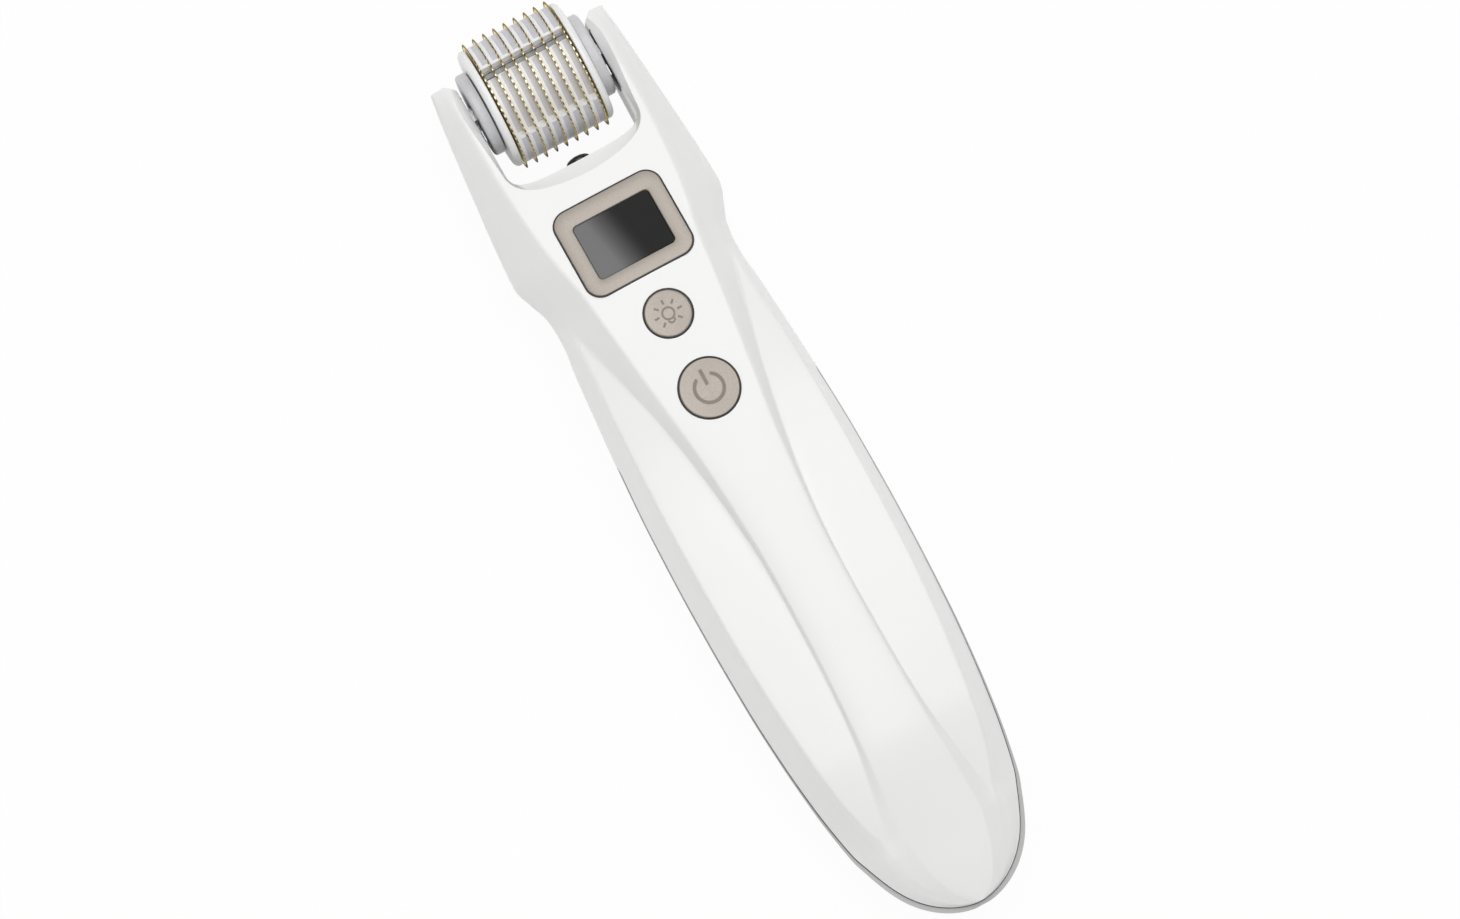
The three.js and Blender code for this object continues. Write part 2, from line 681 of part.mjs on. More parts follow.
function rearShell() {
  const floor = parting_z - rear_depth;
  let hollow = shellHollow(rearSection, distanceOf(rear_cavity_share), -1);
  const keep = (body) => {
    hollow = hollow.subtract(body);
  };
  for (const { x, y } of screwPlaces) {
    keep(upright(screw_boss_radius, x, y, floor, parting_z - fit_gap / 2));
  }
  // Cradles under the battery
  for (const y of [battery_tail_y + cradle_inset, battery_head_y - cradle_inset]) {
    const height = battery_z - floor;
    const rib = box(cradle_half_width * 2, cradle_thickness, height, 0, y, floor + height / 2);
    keep(rib.subtract(lengthways(battery_radius + fit_gap, y - overrun, y + overrun, 0, battery_z)));
  }
  // Cradle under the motor
  const cradle = box(
    motor_length / 2, cradle_thickness * 2, motor_z - floor,
    -motor_left + motor_length / 2, motor_y, (floor + motor_z) / 2,
  );
  keep(cradle.subtract(acrossAll(motor_radius + fit_gap, motor_y, motor_z)));
  let shell = shellBody(rearSection, parting_z - fit_gap / 2, tail_flat).subtract(hollow);
  shell = shell.subtract(yokeOpening());
  for (const side of [-1, 1]) {
    shell = shell.subtract(socketPiece(side, socket_radius + fit_gap, socket_thickness + fit_gap, fit_gap));
  }
  for (const { x, y } of screwPlaces) {
    const seat = parting_z - screw_seat_drop;
    const top = parting_z + overrun;
    shell = shell.subtract(upright(screw_radius + fit_gap, x, y, -overrun, top, bore_sides));
    shell = shell.subtract(upright(screw_head_radius + fit_gap, x, y, -overrun, seat, bore_sides));
  }
  return shell.subtract(chargerSlot());
}

// Charging socket: a flat sleeve in the tail's end wall, with a tongue in it
function chargerShape(grown) {
  const height = charger_height + grown * 2;
  return roundedRectangle(charger_width + grown * 2, height, height * charger_round_share);
}

const chargerPlace = new THREE.Matrix4()
  .makeRotationX(Math.PI / 2)
  .setPosition(0, tail_y + charger_to_tail, parting_z - charger_drop);

function chargerSlot() {
  return moved(solid(plate(chargerShape(fit_gap), -charger_length - overrun, overrun)), chargerPlace);
}

function chargingSocket() {
  const sleeve = solid(plate(chargerShape(0), -charger_length, 0));
  const bore = solid(plate(chargerShape(-charger_wall), charger_wall - charger_length, overrun));
  const tongue = box(
    charger_width / 2, charger_tongue, charger_length - charger_wall,
    0, 0, -charger_wall - (charger_length - charger_wall) / 2,
  );
  return moved(sleeve.subtract(bore).add(tongue), chargerPlace);
}

// A toothed disc of the roller, standing across X
function needleDisc() {
  const points = [];
  for (let i = 0; i < tooth_count * 2; i++) {
    const angle = (Math.PI * i) / tooth_count;
    const radius = i % 2 ? tooth_root_radius : tooth_radius;
    points.push(new THREE.Vector2(radius * Math.cos(angle), radius * Math.sin(angle)));
  }
  const shape = new THREE.Shape(points);
  shape.holes.push(circlePath(core_radius + fit_gap));
  return plate(shape, -disc_thickness / 2, disc_thickness / 2);
}

function circlePoint(radius, angle) {
  return new THREE.Vector2(radius * Math.cos(angle), radius * Math.sin(angle));
}

function circlePath(radius, sides = bore_sides) {
  const points = [];
  for (let i = 0; i < sides; i++) points.push(circlePoint(radius, (Math.PI * 2 * i) / sides));
  return new THREE.Path(points);
}

// A spacer between two discs: a ring with three raised blocks
function spacer() {
  const points = [];
  const arc = (radius, from, to, steps) => {
    for (let i = 0; i <= steps; i++) points.push(circlePoint(radius, from + ((to - from) * i) / steps));
  };
  const turn = (Math.PI * 2) / block_count;
  const half = THREE.MathUtils.degToRad(block_angle) / 2;
  const first = THREE.MathUtils.degToRad(block_turn);
  for (let i = 0; i < block_count; i++) {
    const middle = first + i * turn;
    arc(block_radius, middle - half, middle + half, block_steps);
    arc(spacer_ring_radius, middle + half, middle + turn - half, gap_steps);
  }
  const shape = new THREE.Shape(points);
  shape.holes.push(circlePath(core_radius + fit_gap));
  const width = disc_pitch - disc_thickness - fit_gap * 2;
  return plate(shape, -width / 2, width / 2);
}

// Lathe bodies of the roller: profile points are [radius, place along the axle]
function turned(profile, sides = round_sides) {
  const points = profile.map(([radius, along]) => new THREE.Vector2(radius, along));
  return new THREE.LatheGeometry([...points, points[0].clone()], sides);
}

// The plate's face turns to +X, and its own X turns up to +Z, at the roller's axle
function onAxle(x, side = 1) {
  const basis = new THREE.Matrix4().makeBasis(
    new THREE.Vector3(0, 0, 1),
    new THREE.Vector3(0, side, 0),
    new THREE.Vector3(-side, 0, 0),
  );
  return basis.setPosition(x, axle_y, axle_z);
}

// A lathe's own axis, Y, turns to X at the roller's axle
function latheOnAxle(x, side = 1) {
  const basis = new THREE.Matrix4().makeBasis(
    new THREE.Vector3(0, 0, side),
    new THREE.Vector3(side, 0, 0),
    new THREE.Vector3(0, 1, 0),
  );
  return basis.setPosition(x, axle_y, axle_z);
}

const flange = () =>
  turned([
    [axle_radius + fit_gap, flange_inner],
    [flange_radius, flange_inner],
    [flange_radius, flange_outer - flange_chamfer],
    [flange_radius - flange_chamfer, flange_outer],
    [axle_radius + fit_gap, flange_outer],
  ]);

const hub = () =>
  turned([
    [axle_radius + fit_gap, hub_inner],
    [hub_radius, hub_inner],
    [hub_radius, hub_outer - hub_chamfer],
    [hub_radius - hub_chamfer, hub_outer],
    [axle_radius + fit_gap, hub_outer],
  ]);

const core = () => {
  const end = flange_inner - fit_gap;
  return turned(
    [[core_bore_radius, -end], [core_radius, -end], [core_radius, end], [core_bore_radius, end]],
    bore_sides,
  );
};

// A button cap: round, with a collar under the shell before and behind it, and a stem
// down to its switch
function buttonCap(button) {
  const { radius, y } = button;
  const { reach, top } = buttonSeat(button);
  const bottom = top - button_collar;
  const stem_bottom = parting_z + board_top + switch_height + plunger_proud + fit_gap;
  const tall = upright(radius, 0, y, bottom, parting_z + front_height + overrun, button_sides);
  const round = upright(reach, 0, y, bottom, top, button_sides);
  const collar = round.intersect(box(radius * 2, reach * 2, top * 2, 0, y, 0));
  const stem = upright(button_stem_radius, 0, y, stem_bottom, top, bore_sides);
  const span = radius * 4;
  const above = moved(box(span, span, span, 0, 0, span / 2 + button_proud), topPlace(y - tail_y));
  return tall.subtract(above).add(collar).add(stem);
}

function plunger({ y }) {
  const top = parting_z + board_top + switch_height;
  return upright(plunger_radius, 0, y, top - plunger_depth, top + plunger_proud, bore_sides);
}

function tactSwitch({ y }) {
  const bottom = parting_z + board_top + fit_gap;
  const top = parting_z + board_top + switch_height;
  const body = box(switch_size, switch_size, top - bottom, 0, y, (top + bottom) / 2);
  const floor = top - plunger_depth - button_travel - fit_gap;
  return body.subtract(upright(plunger_radius + fit_gap, 0, y, floor, top + overrun, bore_sides));
}

function windowShape(grown) {
  const width = window_width + grown * 2;
  return roundedRectangle(width, window_length + grown * 2, window_corner + grown, -window_drop);
}

function displayBezel() {
  const shape = roundedRectangle(display_width, display_length, display_corner);
  shape.holes.push(windowShape(fit_gap));
  return plate(shape, fit_gap - display_pocket, fit_gap / 2);
}

function displayWindow() {
  return plate(windowShape(0), -window_sink - window_thickness, -window_sink);
}

function displayScreen(grown) {
  const middle = -wall - fit_gap * 2 - screen_thickness / 2;
  const [width, length, height] = [screen_width, screen_length, screen_thickness].map((v) => v + grown * 2);
  return box(width, length, height, 0, 0, middle);
}

function circuitBoard() {
  const length = board_head_y - board_tail_y;
  const y = board_tail_y + length / 2;
  const z = parting_z + board_top - board_thickness / 2;
  return box(board_half_width * 2, length, board_thickness, 0, y, z);
}

function battery() {
  return lengthways(battery_radius, battery_tail_y, battery_head_y, 0, battery_z);
}

function vibrationMotor() {
  const can = crossways(motor_radius, -motor_left, motor_end, motor_y, motor_z);
  const shaft = crossways(
    motor_shaft_radius, motor_end, motor_end + motor_shaft_length, motor_y, motor_z, bore_sides,
  );
  return can.add(shaft);
}

// Half a disc on the motor's shaft
function motorWeight() {
  const start = motor_end + fit_gap * 2;
  const whole = crossways(weight_radius, start, start + weight_width, motor_y, motor_z);
  const off = box(
    grip_half_width * 2, weight_radius * 2, weight_radius * 2,
    0, motor_y, motor_z + weight_radius + motor_shaft_radius * 2,
  );
  const bore = acrossAll(motor_shaft_radius + fit_gap, motor_y, motor_z, bore_sides);
  return whole.subtract(off).subtract(bore);
}

// Lamp lens in the wall behind the roller: a rod with a domed end
function lampLens() {
  const back = cavity_head_y - crotch_y;
  const dome = [];
  for (let i = 0; i <= dome_steps; i++) {
    const angle = ((Math.PI / 2) * i) / dome_steps;
    const radius = i === dome_steps ? 0 : lens_radius * Math.cos(angle);
    dome.push(new THREE.Vector2(radius, lens_proud - lens_bulge + lens_bulge * Math.sin(angle)));
  }
  const profile = [new THREE.Vector2(0, back), new THREE.Vector2(lens_radius, back), ...dome];
  const lens = new THREE.LatheGeometry(profile, round_sides);
  return lens.translate(0, crotch_y, parting_z + lens_rise);
}

function lampBoard() {
  const y = cavity_head_y - fit_gap - lamp_board_thickness / 2;
  return box(lamp_board_size, lamp_board_thickness, lamp_board_size, 0, y, parting_z + lens_rise);
}

function screw() {
  const head_bottom = -screw_head_height;
  return turnedClosed([
    [screw_head_radius, head_bottom],
    [screw_head_radius, 0],
    [screw_radius, 0],
    [screw_radius, screw_length],
  ]);
}

// A solid lathe body standing along Z
function turnedClosed(profile, sides = bore_sides) {
  const points = profile.map(([radius, along]) => new THREE.Vector2(radius, along));
  const ends = [new THREE.Vector2(0, points[0].y), ...points, new THREE.Vector2(0, points.at(-1).y)];
  return new THREE.LatheGeometry(ends, sides).rotateX(Math.PI / 2);
}

// A leaf of sheet metal between the socket's face and the hub
function contactSpring(side) {
  const x = side * (arm_inner - fit_gap - contact_thickness / 2);
  const z = parting_z + socket_top - contact_length / 2;
  return box(contact_thickness, contact_width, contact_length, x, axle_y - contact_to_axle, z);
}

// The lamp strip on top of the axle, inside the drum's core
function lampStrip() {
  const z = axle_z + axle_radius + fit_gap + lamp_strip_thickness / 2;
  return box(discs_half_width * 2, lamp_strip_width, lamp_strip_thickness, 0, axle_y, z);
}

const at = (x, y, z) => new THREE.Matrix4().makeTranslation(x, y, z);

add("front_shell", frontShell(), whiteGloss());
add("rear_shell", rearShell(), rearGloss());
add("display_bezel", displayBezel(), champagne(), displayPlace);
add("display_window", displayWindow(), darkGlass(), displayPlace);
add("display_screen", displayScreen(0), blackPlastic(), displayPlace);
for (const button of buttons) {
  add(button.name + "_button", buttonCap(button), champagne());
  add(button.name + "_plunger", plunger(button), blackPlastic());
  add(button.name + "_switch", tactSwitch(button), blackPlastic());
}
for (let i = 0; i < disc_count; i++) {
  add("needle_disc_" + (i + 1), needleDisc(), gold(), onAxle(i * disc_pitch - discs_half_width));
}
for (let i = 0; i + 1 < disc_count; i++) {
  const x = (i + 1 / 2) * disc_pitch - discs_half_width;
  add("spacer_" + (i + 1), spacer(), whiteGloss(), onAxle(x));
}
add("drum_core", core(), pearl(), latheOnAxle(0));
for (const [name, side] of [["left", -1], ["right", 1]]) {
  const hole = acrossAll(axle_radius + fit_gap, axle_y, axle_z, bore_sides);
  const socket = socketPiece(side, socket_radius, socket_thickness, 0).subtract(hole);
  add("drum_flange_" + name, flange(), whiteGloss(), latheOnAxle(0, side));
  add("drum_hub_" + name, hub(), satinGrey(), latheOnAxle(0, side));
  add("drum_socket_" + name, socket, blackPlastic());
  add("contact_spring_" + name, contactSpring(side), steel());
}
add("drum_axle", crossways(axle_radius, -axle_end, axle_end, axle_y, axle_z, bore_sides), steel());
add("drum_lamp_strip", lampStrip(), boardGreen());
add("circuit_board", circuitBoard(), boardGreen());
add("battery", battery(), cellBlue());
add("vibration_motor", vibrationMotor(), steel());
add("motor_weight", motorWeight(), steel());
add("lamp_lens", lampLens(), darkGlass());
add("lamp_board", lampBoard(), boardGreen());
add("charging_socket", chargingSocket(), steel());
for (const { name, x, y } of screwPlaces) {
  add(name, screw(), steel(), at(x, y, parting_z - screw_seat_drop - fit_gap));
}

export default group;
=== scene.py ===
"""Needle-roller facial device: the looks of its moulded shells, roller, display and buttons."""

import math

import bmesh
import bpy
from mathutils import Matrix, Vector
from mathutils.bvhtree import BVHTree
from mathutils.interpolate import poly_3d_calc


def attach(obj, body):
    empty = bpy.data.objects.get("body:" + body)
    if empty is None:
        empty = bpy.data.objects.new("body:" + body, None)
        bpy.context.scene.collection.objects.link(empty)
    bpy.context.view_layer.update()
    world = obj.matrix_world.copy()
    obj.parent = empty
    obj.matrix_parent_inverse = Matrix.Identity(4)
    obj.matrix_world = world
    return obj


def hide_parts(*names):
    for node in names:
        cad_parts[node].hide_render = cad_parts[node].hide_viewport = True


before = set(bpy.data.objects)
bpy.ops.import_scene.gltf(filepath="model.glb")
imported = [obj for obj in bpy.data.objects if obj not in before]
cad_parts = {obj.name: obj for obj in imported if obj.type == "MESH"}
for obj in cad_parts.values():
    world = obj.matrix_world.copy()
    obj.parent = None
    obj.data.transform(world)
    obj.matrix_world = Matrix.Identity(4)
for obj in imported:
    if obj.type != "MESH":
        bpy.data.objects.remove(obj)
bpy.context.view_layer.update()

# Sizes in millimetres: those of the part, and a few finer ones of the looks alone
BODY_LENGTH = 185.7
HEAD_LENGTH = 52
GRIP_HALF_WIDTH = 22.3
FRONT_HEIGHT = 18
REAR_DEPTH = 13.5
RIDGE_CROWN = 0.8
RIM_WIDTH = 0.8
TAIL_FLAT = 0.1
SEAM_SHADE_PROUD = 0.14
WALL = 2
FIT_GAP = 0.3
OVERRUN = 3
AXLE_TO_TIP = 7.7
AXLE_RISE = 1.3
ARM_INNER = 13.9
CROTCH_LENGTH = 5.4
CROTCH_TO_AXLE = 18
LIP_INNER = 14.6
LIP_INNER_AT_TIPS = 16.2
LIP_LENGTH = 8
LIP_TO_AXLE = 22.7
LIP_LOW = (9.3, 5.15)
LIP_TOP = (12.6, 6.9)
LIP_TIP_FALL = 2
LIP_FALL_TO_TIP = 5.4
TIP_FLARE = 1.9
HEAD_WALL = 6.6
TOOTH_RADIUS = 13.3
TOOTH_ROOT_RADIUS = 12.1
TOOTH_COUNT = 60
DISC_COUNT = 9
DISC_PITCH = 2.2
DISC_THICKNESS = 0.4
DISC_PLATE = 0.24
CORE_RADIUS = 9.7
CORE_BORE_RADIUS = 6
SPACER_RING_RADIUS = 10.7
BLOCK_RADIUS = 12.3
BLOCK_COUNT = 3
BLOCK_ANGLE = 47
BLOCK_TURN = 50.5
FLANGE_RADIUS = 12.25
FLANGE_WIDTH = 1.4
HUB_RADIUS = 8.5
HUB_WIDTH = 2.1
AXLE_RADIUS = 2
SOCKET_RADIUS = 8.6
SOCKET_THICKNESS = 1.2
SOCKET_TOP = 3.9
SOCKET_BOTTOM = 5.2
SOCKET_TO_TIP = 3.9
DISPLAY_TO_AXLE = 35.2
DISPLAY_SIZE = (22.3, 18.5)
DISPLAY_CORNER = 3.1
DISPLAY_POCKET = 1.4
WINDOW_SIZE = (16.1, 11.9)
WINDOW_DROP = 0.3
WINDOW_CORNER = 0.9
WINDOW_THICKNESS = 1
WINDOW_SINK = 0.2
SCREEN_SIZE = (21, 16, 2.2)
LIGHT_BUTTON_TO_AXLE = 53
LIGHT_BUTTON_RADIUS = 4.6
POWER_BUTTON_TO_AXLE = 69.1
POWER_BUTTON_RADIUS = 5.75
BUTTON_GAP = 0.3
BUTTON_PROUD = 0.25
BUTTON_DISH = 0.22
BUTTON_FLANGE = 1.1
BUTTON_COLLAR = 1
BUTTON_TRAVEL = 0.4
BUTTON_STEM_RADIUS = 1.5
SWITCH_TOP = 12.4
LENS_RADIUS = 2.5
LENS_RISE = 3.4
LENS_PROUD = 1.8
LENS_BULGE = 1.1
CHARGER_SIZE = (9, 3.3, 7)
CHARGER_WALL = 0.4
CHARGER_DROP = 3.4
CHARGER_TO_TAIL = 1.6
SCREW_RADIUS = 1.2
SCREW_HEAD_RADIUS = 2.4
SCREW_HEAD_HEIGHT = 1.6
SCREW_LENGTH = 10.5
SCREW_SEAT_DROP = 5

# The shares that shape the shells, along the handle and across it, as in the part
WAIST_SHARE = 0.72
OUTLINE = (
    (0, 0.7), (0.022, 0.722), (0.062, 0.738), (0.082, 0.76), (0.102, 0.802), (0.123, 0.837),
    (0.163, 0.89), (0.225, 0.945), (0.285, 0.978), (0.367, 0.997), (0.408, 1), (0.49, 0.99),
    (0.572, 0.955), (0.634, 0.917), (0.676, 0.889), (0.705, 0.861), (0.717, 0.86),
    (0.738, 0.876), (0.759, 0.938), (0.777, 0.991), (0.782, 0.997), (0.82, 0.982),
    (0.883, 0.937), (0.925, 0.906), (0.967, 0.87), (1, 0.834),
)
TAIL_ROUND = 0.102
CREASE = (
    (0.1, 0.345), (0.16, 0.32), (0.24, 0.291), (0.32, 0.274), (0.4, 0.276), (0.461, 0.304),
    (0.522, 0.345), (0.583, 0.41), (0.643, 0.476), (0.705, 0.538), (0.736, 0.57), (0.768, 0.623),
    (0.8, 0.667), (0.852, 0.705), (0.885, 0.719), (1, 0.73),
)
LEAF_INNER = (
    (0.086, 0.488), (0.121, 0.446), (0.161, 0.395), (0.201, 0.341), (0.241, 0.314),
    (0.281, 0.302), (0.362, 0.292), (0.402, 0.299), (0.463, 0.339), (0.524, 0.413),
    (0.586, 0.511), (0.627, 0.591), (0.669, 0.67), (0.702, 0.743),
)
LEAF_OUTER = (
    (0.086, 0.502), (0.101, 0.533), (0.121, 0.59), (0.161, 0.676), (0.201, 0.73),
    (0.241, 0.767), (0.281, 0.799), (0.362, 0.838), (0.463, 0.85), (0.524, 0.844),
    (0.586, 0.827), (0.669, 0.794), (0.702, 0.77),
)
CREASE_HEIGHT = (
    (0, 0.07), (0.022, 0.185), (0.043, 0.28), (0.082, 0.411), (0.121, 0.544), (0.16, 0.667),
    (0.2, 0.756), (0.28, 0.839), (0.361, 0.9), (0.461, 0.961), (0.562, 1), (0.643, 1),
    (0.684, 0.978), (0.726, 0.922), (0.768, 0.844), (0.81, 0.761), (0.852, 0.667),
    (0.885, 0.589), (0.939, 0.456), (0.96, 0.383), (0.977, 0.311), (0.991, 0.211), (1, 0.12),
)
LEAF_HEIGHT = (
    (0.086, 0.294), (0.121, 0.417), (0.161, 0.528), (0.201, 0.611), (0.28, 0.689),
    (0.361, 0.722), (0.522, 0.722), (0.587, 0.683), (0.627, 0.611), (0.669, 0.528),
    (0.702, 0.461),
)
REAR_DEPTHS = (
    (0, 0.3), (0.008, 0.45), (0.022, 0.58), (0.043, 0.7), (0.081, 0.84), (0.135, 0.95),
    (0.205, 1), (0.657, 1), (0.727, 0.97), (0.808, 0.85), (0.889, 0.66), (0.959, 0.5),
    (0.991, 0.32), (1, 0.2),
)
RIM = (
    (0, 1), (0.06, 0.95), (0.14, 0.62), (0.2, 0.48), (0.3, 0.36), (0.55, 0.25), (0.562, 0.25),
    (0.57, 0), (1, 0),
)
CROWN = ((0, 0.3), (0.25, 1), (0.5, 1), (0.7, 0.5), (1, 0.4))
LEAF_SLOPES = (0.12, 0.38)
LEAF_LEAN_LENGTH = 45
HEAD_FACETS = (0.6, 0.76, 0.93)
HEAD_SWELL = 0.03
TAIL_ACROSS = (0.484, 0.677, 0.71, 0.82)
TAIL_HEIGHTS = (1, 0.79, 0.75, 0.56)
KNEE_ACROSS = 0.22
KNEE_HEIGHT = 0.82
BELLY_ACROSS = (0.45, 0.8, 0.965)
BELLY_DOWN = (1, 0.86, 0.5)
FRONT_HOLLOW_START = 0.086
REAR_HOLLOW_START = 0.043

# How far each corner's rounding reaches: at the tail, on the grip, on the head
ROUNDINGS = ((4, 2.5, 1.2, 2), (0.55, 0.3, 0.4, 1.6), (1.8, 1.2, 1.6, 1.6))
REAR_ROUNDINGS = (0, 9, 9, 9, 0)
# Where one zone turns into the next, measured from the leaf's tail end or its head end
TAIL_CORNERS_TURN = (-1, 3)
HEAD_CORNERS_TURN = (-2, 4)
GRIP_ROUNDINGS_TURN = (-4, 8)
HEAD_ROUNDINGS_TURN = (-20, 2)
# Into how many parts a section's crown, its straight pieces and its bends are split
CROWN_STEPS = 10
FRONT_PARTS = (2, 4, 8, 4, 6)
REAR_PARTS = (6, 2, 2, 4)
BEND_STEPS = 5
# A rounding takes at most this share of a side
ROUND_SHARE = 0.45

# Places that follow
AXLE_TO_TAIL = BODY_LENGTH - AXLE_TO_TIP
TAIL_Y = -(AXLE_TO_TAIL + TOOTH_RADIUS) / 2
AXLE_Y = TAIL_Y + AXLE_TO_TAIL
PARTING_Z = REAR_DEPTH
AXLE_Z = PARTING_Z + AXLE_RISE
TIP_Y = TAIL_Y + BODY_LENGTH
BEYOND_Y = AXLE_Y + TOOTH_RADIUS
CROTCH_Y = AXLE_Y - CROTCH_TO_AXLE
CAVITY_HEAD_Y = CROTCH_Y - HEAD_WALL
GRIP_LENGTH = BODY_LENGTH - HEAD_LENGTH
DISCS_HALF_WIDTH = DISC_PITCH * (DISC_COUNT - 1) / 2
FLANGE_INNER = DISCS_HALF_WIDTH + DISC_THICKNESS / 2 + FIT_GAP
FLANGE_OUTER = FLANGE_INNER + FLANGE_WIDTH
HUB_INNER = FLANGE_OUTER + FIT_GAP
HUB_OUTER = HUB_INNER + HUB_WIDTH
AXLE_BORE = AXLE_RADIUS + FIT_GAP
SIDES = (("left", -1), ("right", 1))
MM = 0.001


# Curves and sections

def share_of(distance):
    """The share of the length at a distance from the tail, with the waist at its own share."""
    if distance < GRIP_LENGTH:
        return WAIST_SHARE * distance / GRIP_LENGTH
    return WAIST_SHARE + (1 - WAIST_SHARE) * (distance - GRIP_LENGTH) / HEAD_LENGTH


def distance_of(share):
    """The distance from the tail at a share of the length."""
    if share < WAIST_SHARE:
        return GRIP_LENGTH * share / WAIST_SHARE
    return GRIP_LENGTH + HEAD_LENGTH * (share - WAIST_SHARE) / (1 - WAIST_SHARE)


def through(stations, across):
    """A smooth curve through (share along, share across) stations, without overshoot."""
    last = len(stations) - 1
    rises = [
        (stations[i + 1][1] - stations[i][1]) / (stations[i + 1][0] - stations[i][0])
        for i in range(last)
    ]
    slopes = []
    for i in range(last + 1):
        before, after = rises[max(i - 1, 0)], rises[min(i, last - 1)]
        slopes.append(2 * before * after / (before + after) if before * after > 0 else 0)

    def at(distance):
        """The curve's height at a distance from the tail."""
        share = min(max(share_of(distance), stations[0][0]), stations[last][0])
        i = next(k for k in range(1, last + 1) if share <= stations[k][0])
        (x0, y0), (x1, y1) = stations[i - 1], stations[i]
        width = x1 - x0
        t = (share - x0) / width
        value = y0 * (1 + 2 * t) * (1 - t) ** 2 + y1 * t**2 * (3 - 2 * t)
        lean = slopes[i - 1] * t * (1 - t) ** 2 - slopes[i] * t**2 * (1 - t)
        return across * (value + width * lean)

    return at


outline_at = through(OUTLINE, GRIP_HALF_WIDTH)
crease_at = through(CREASE, GRIP_HALF_WIDTH)
leaf_inner_at = through(LEAF_INNER, GRIP_HALF_WIDTH)
leaf_outer_at = through(LEAF_OUTER, GRIP_HALF_WIDTH)
crease_height_at = through(CREASE_HEIGHT, FRONT_HEIGHT)
leaf_height_at = through(LEAF_HEIGHT, FRONT_HEIGHT)
rear_depth_at = through(REAR_DEPTHS, REAR_DEPTH)
rim_at = through(RIM, RIM_WIDTH)
crown_at = through(CROWN, RIDGE_CROWN)
LEAF_HEAD = distance_of(LEAF_INNER[-1][0])
LEAF_TAIL = distance_of(LEAF_INNER[0][0])


def ease(value, start, end):
    """0 before start, 1 after end, smooth between."""
    t = min(max((value - start) / (end - start), 0), 1)
    return t * t * (3 - 2 * t)


def turning(distance, place, turn):
    """0 to 1 over a turn, whose start and end are measured from a place."""
    return ease(distance, place + turn[0], place + turn[1])


def rear_half_width(distance):
    """Half the rear shell's width, with the round of the tail."""
    left = max(0, 1 - distance / (TAIL_ROUND * BODY_LENGTH))
    return outline_at(distance) * math.sqrt(1 - left**2)


def front_half_width(distance):
    """Half the front shell's width, inside the rim that the rear shell shows."""
    rim = rim_at(distance)
    inside = rear_half_width(max(distance - rim, 0))
    return max(inside - rim, inside / 2)


def top_height(distance):
    """Height of the ridge's middle over the parting plane."""
    return crease_height_at(distance) + crown_at(distance)


def crease_corner(distance):
    """The edge between the ridge and the side."""
    return Vector((crease_at(distance), crease_height_at(distance)))


def grip_corners(distance):
    """Half a section of the grip: the crease, the leaf's inner and outer edges, the knee."""
    half, low = front_half_width(distance), leaf_height_at(distance)
    outer = Vector((leaf_outer_at(distance), low))
    inner = Vector((leaf_inner_at(distance), low))
    low_slope, head_slope = LEAF_SLOPES
    slope = low_slope + (head_slope - low_slope) * turning(
        distance, LEAF_HEAD, (-LEAF_LEAN_LENGTH, 0))
    inner.y += (outer.x - inner.x) * slope
    knee = Vector((outer.x + (half - outer.x) * KNEE_ACROSS, low * KNEE_HEIGHT))
    return [crease_corner(distance), inner, outer, knee]


def head_corners(distance):
    """Half a section of the head: the crease and three edges on a side that swells a little."""
    crease = crease_corner(distance)
    edge = Vector((front_half_width(distance), 0))
    corners = [crease]
    for share in HEAD_FACETS:
        swell = 4 * share * (1 - share) * HEAD_SWELL * FRONT_HEIGHT
        corners.append(crease.lerp(edge, share) + Vector((swell, swell / 2)))
    return corners


def tail_corners(distance):
    """Half a section of the tail, before the leaves begin."""
    half, height = front_half_width(distance), crease_height_at(distance)
    return [Vector((half * a, height * h)) for a, h in zip(TAIL_ACROSS, TAIL_HEIGHTS)]


def blended(one, other, share):
    """Corners a share of the way from one list to the other."""
    return [a.lerp(b, share) for a, b in zip(one, other)]


def front_section(distance):
    """Half of the front shell's section, from the ridge's middle to the parting edge."""
    corners = blended(grip_corners(distance), head_corners(distance),
                      turning(distance, LEAF_HEAD, HEAD_CORNERS_TURN))
    if distance < LEAF_TAIL + TAIL_CORNERS_TURN[1]:
        corners = blended(tail_corners(distance), corners,
                          turning(distance, LEAF_TAIL, TAIL_CORNERS_TURN))
    tail, grip, head = ROUNDINGS
    to_grip = turning(distance, LEAF_TAIL, GRIP_ROUNDINGS_TURN)
    to_head = turning(distance, LEAF_HEAD, HEAD_ROUNDINGS_TURN)
    reaches = [t + (g - t) * to_grip + (h - g) * to_head for t, g, h in zip(tail, grip, head)]
    crown = crown_at(distance)
    top = []
    for i in range(CROWN_STEPS):
        share = i / CROWN_STEPS
        top.append(Vector((corners[0].x * share, corners[0].y + crown * (1 - share**2))))
    edge = Vector((front_half_width(distance), 0))
    points = softened([top[-1], *corners, edge], [0, *reaches, 0], FRONT_PARTS)
    return [Vector((0, top_height(distance))), *top[1:-1], *points]


def rear_section(distance):
    """Half of the rear shell's section, from the belly's middle to the parting edge."""
    half, depth = rear_half_width(distance), rear_depth_at(distance)
    corners = [Vector((0, -depth))]
    corners += [Vector((half * a, -depth * d)) for a, d in zip(BELLY_ACROSS, BELLY_DOWN)]
    corners.append(Vector((half, 0)))
    return softened(corners, REAR_ROUNDINGS, REAR_PARTS)


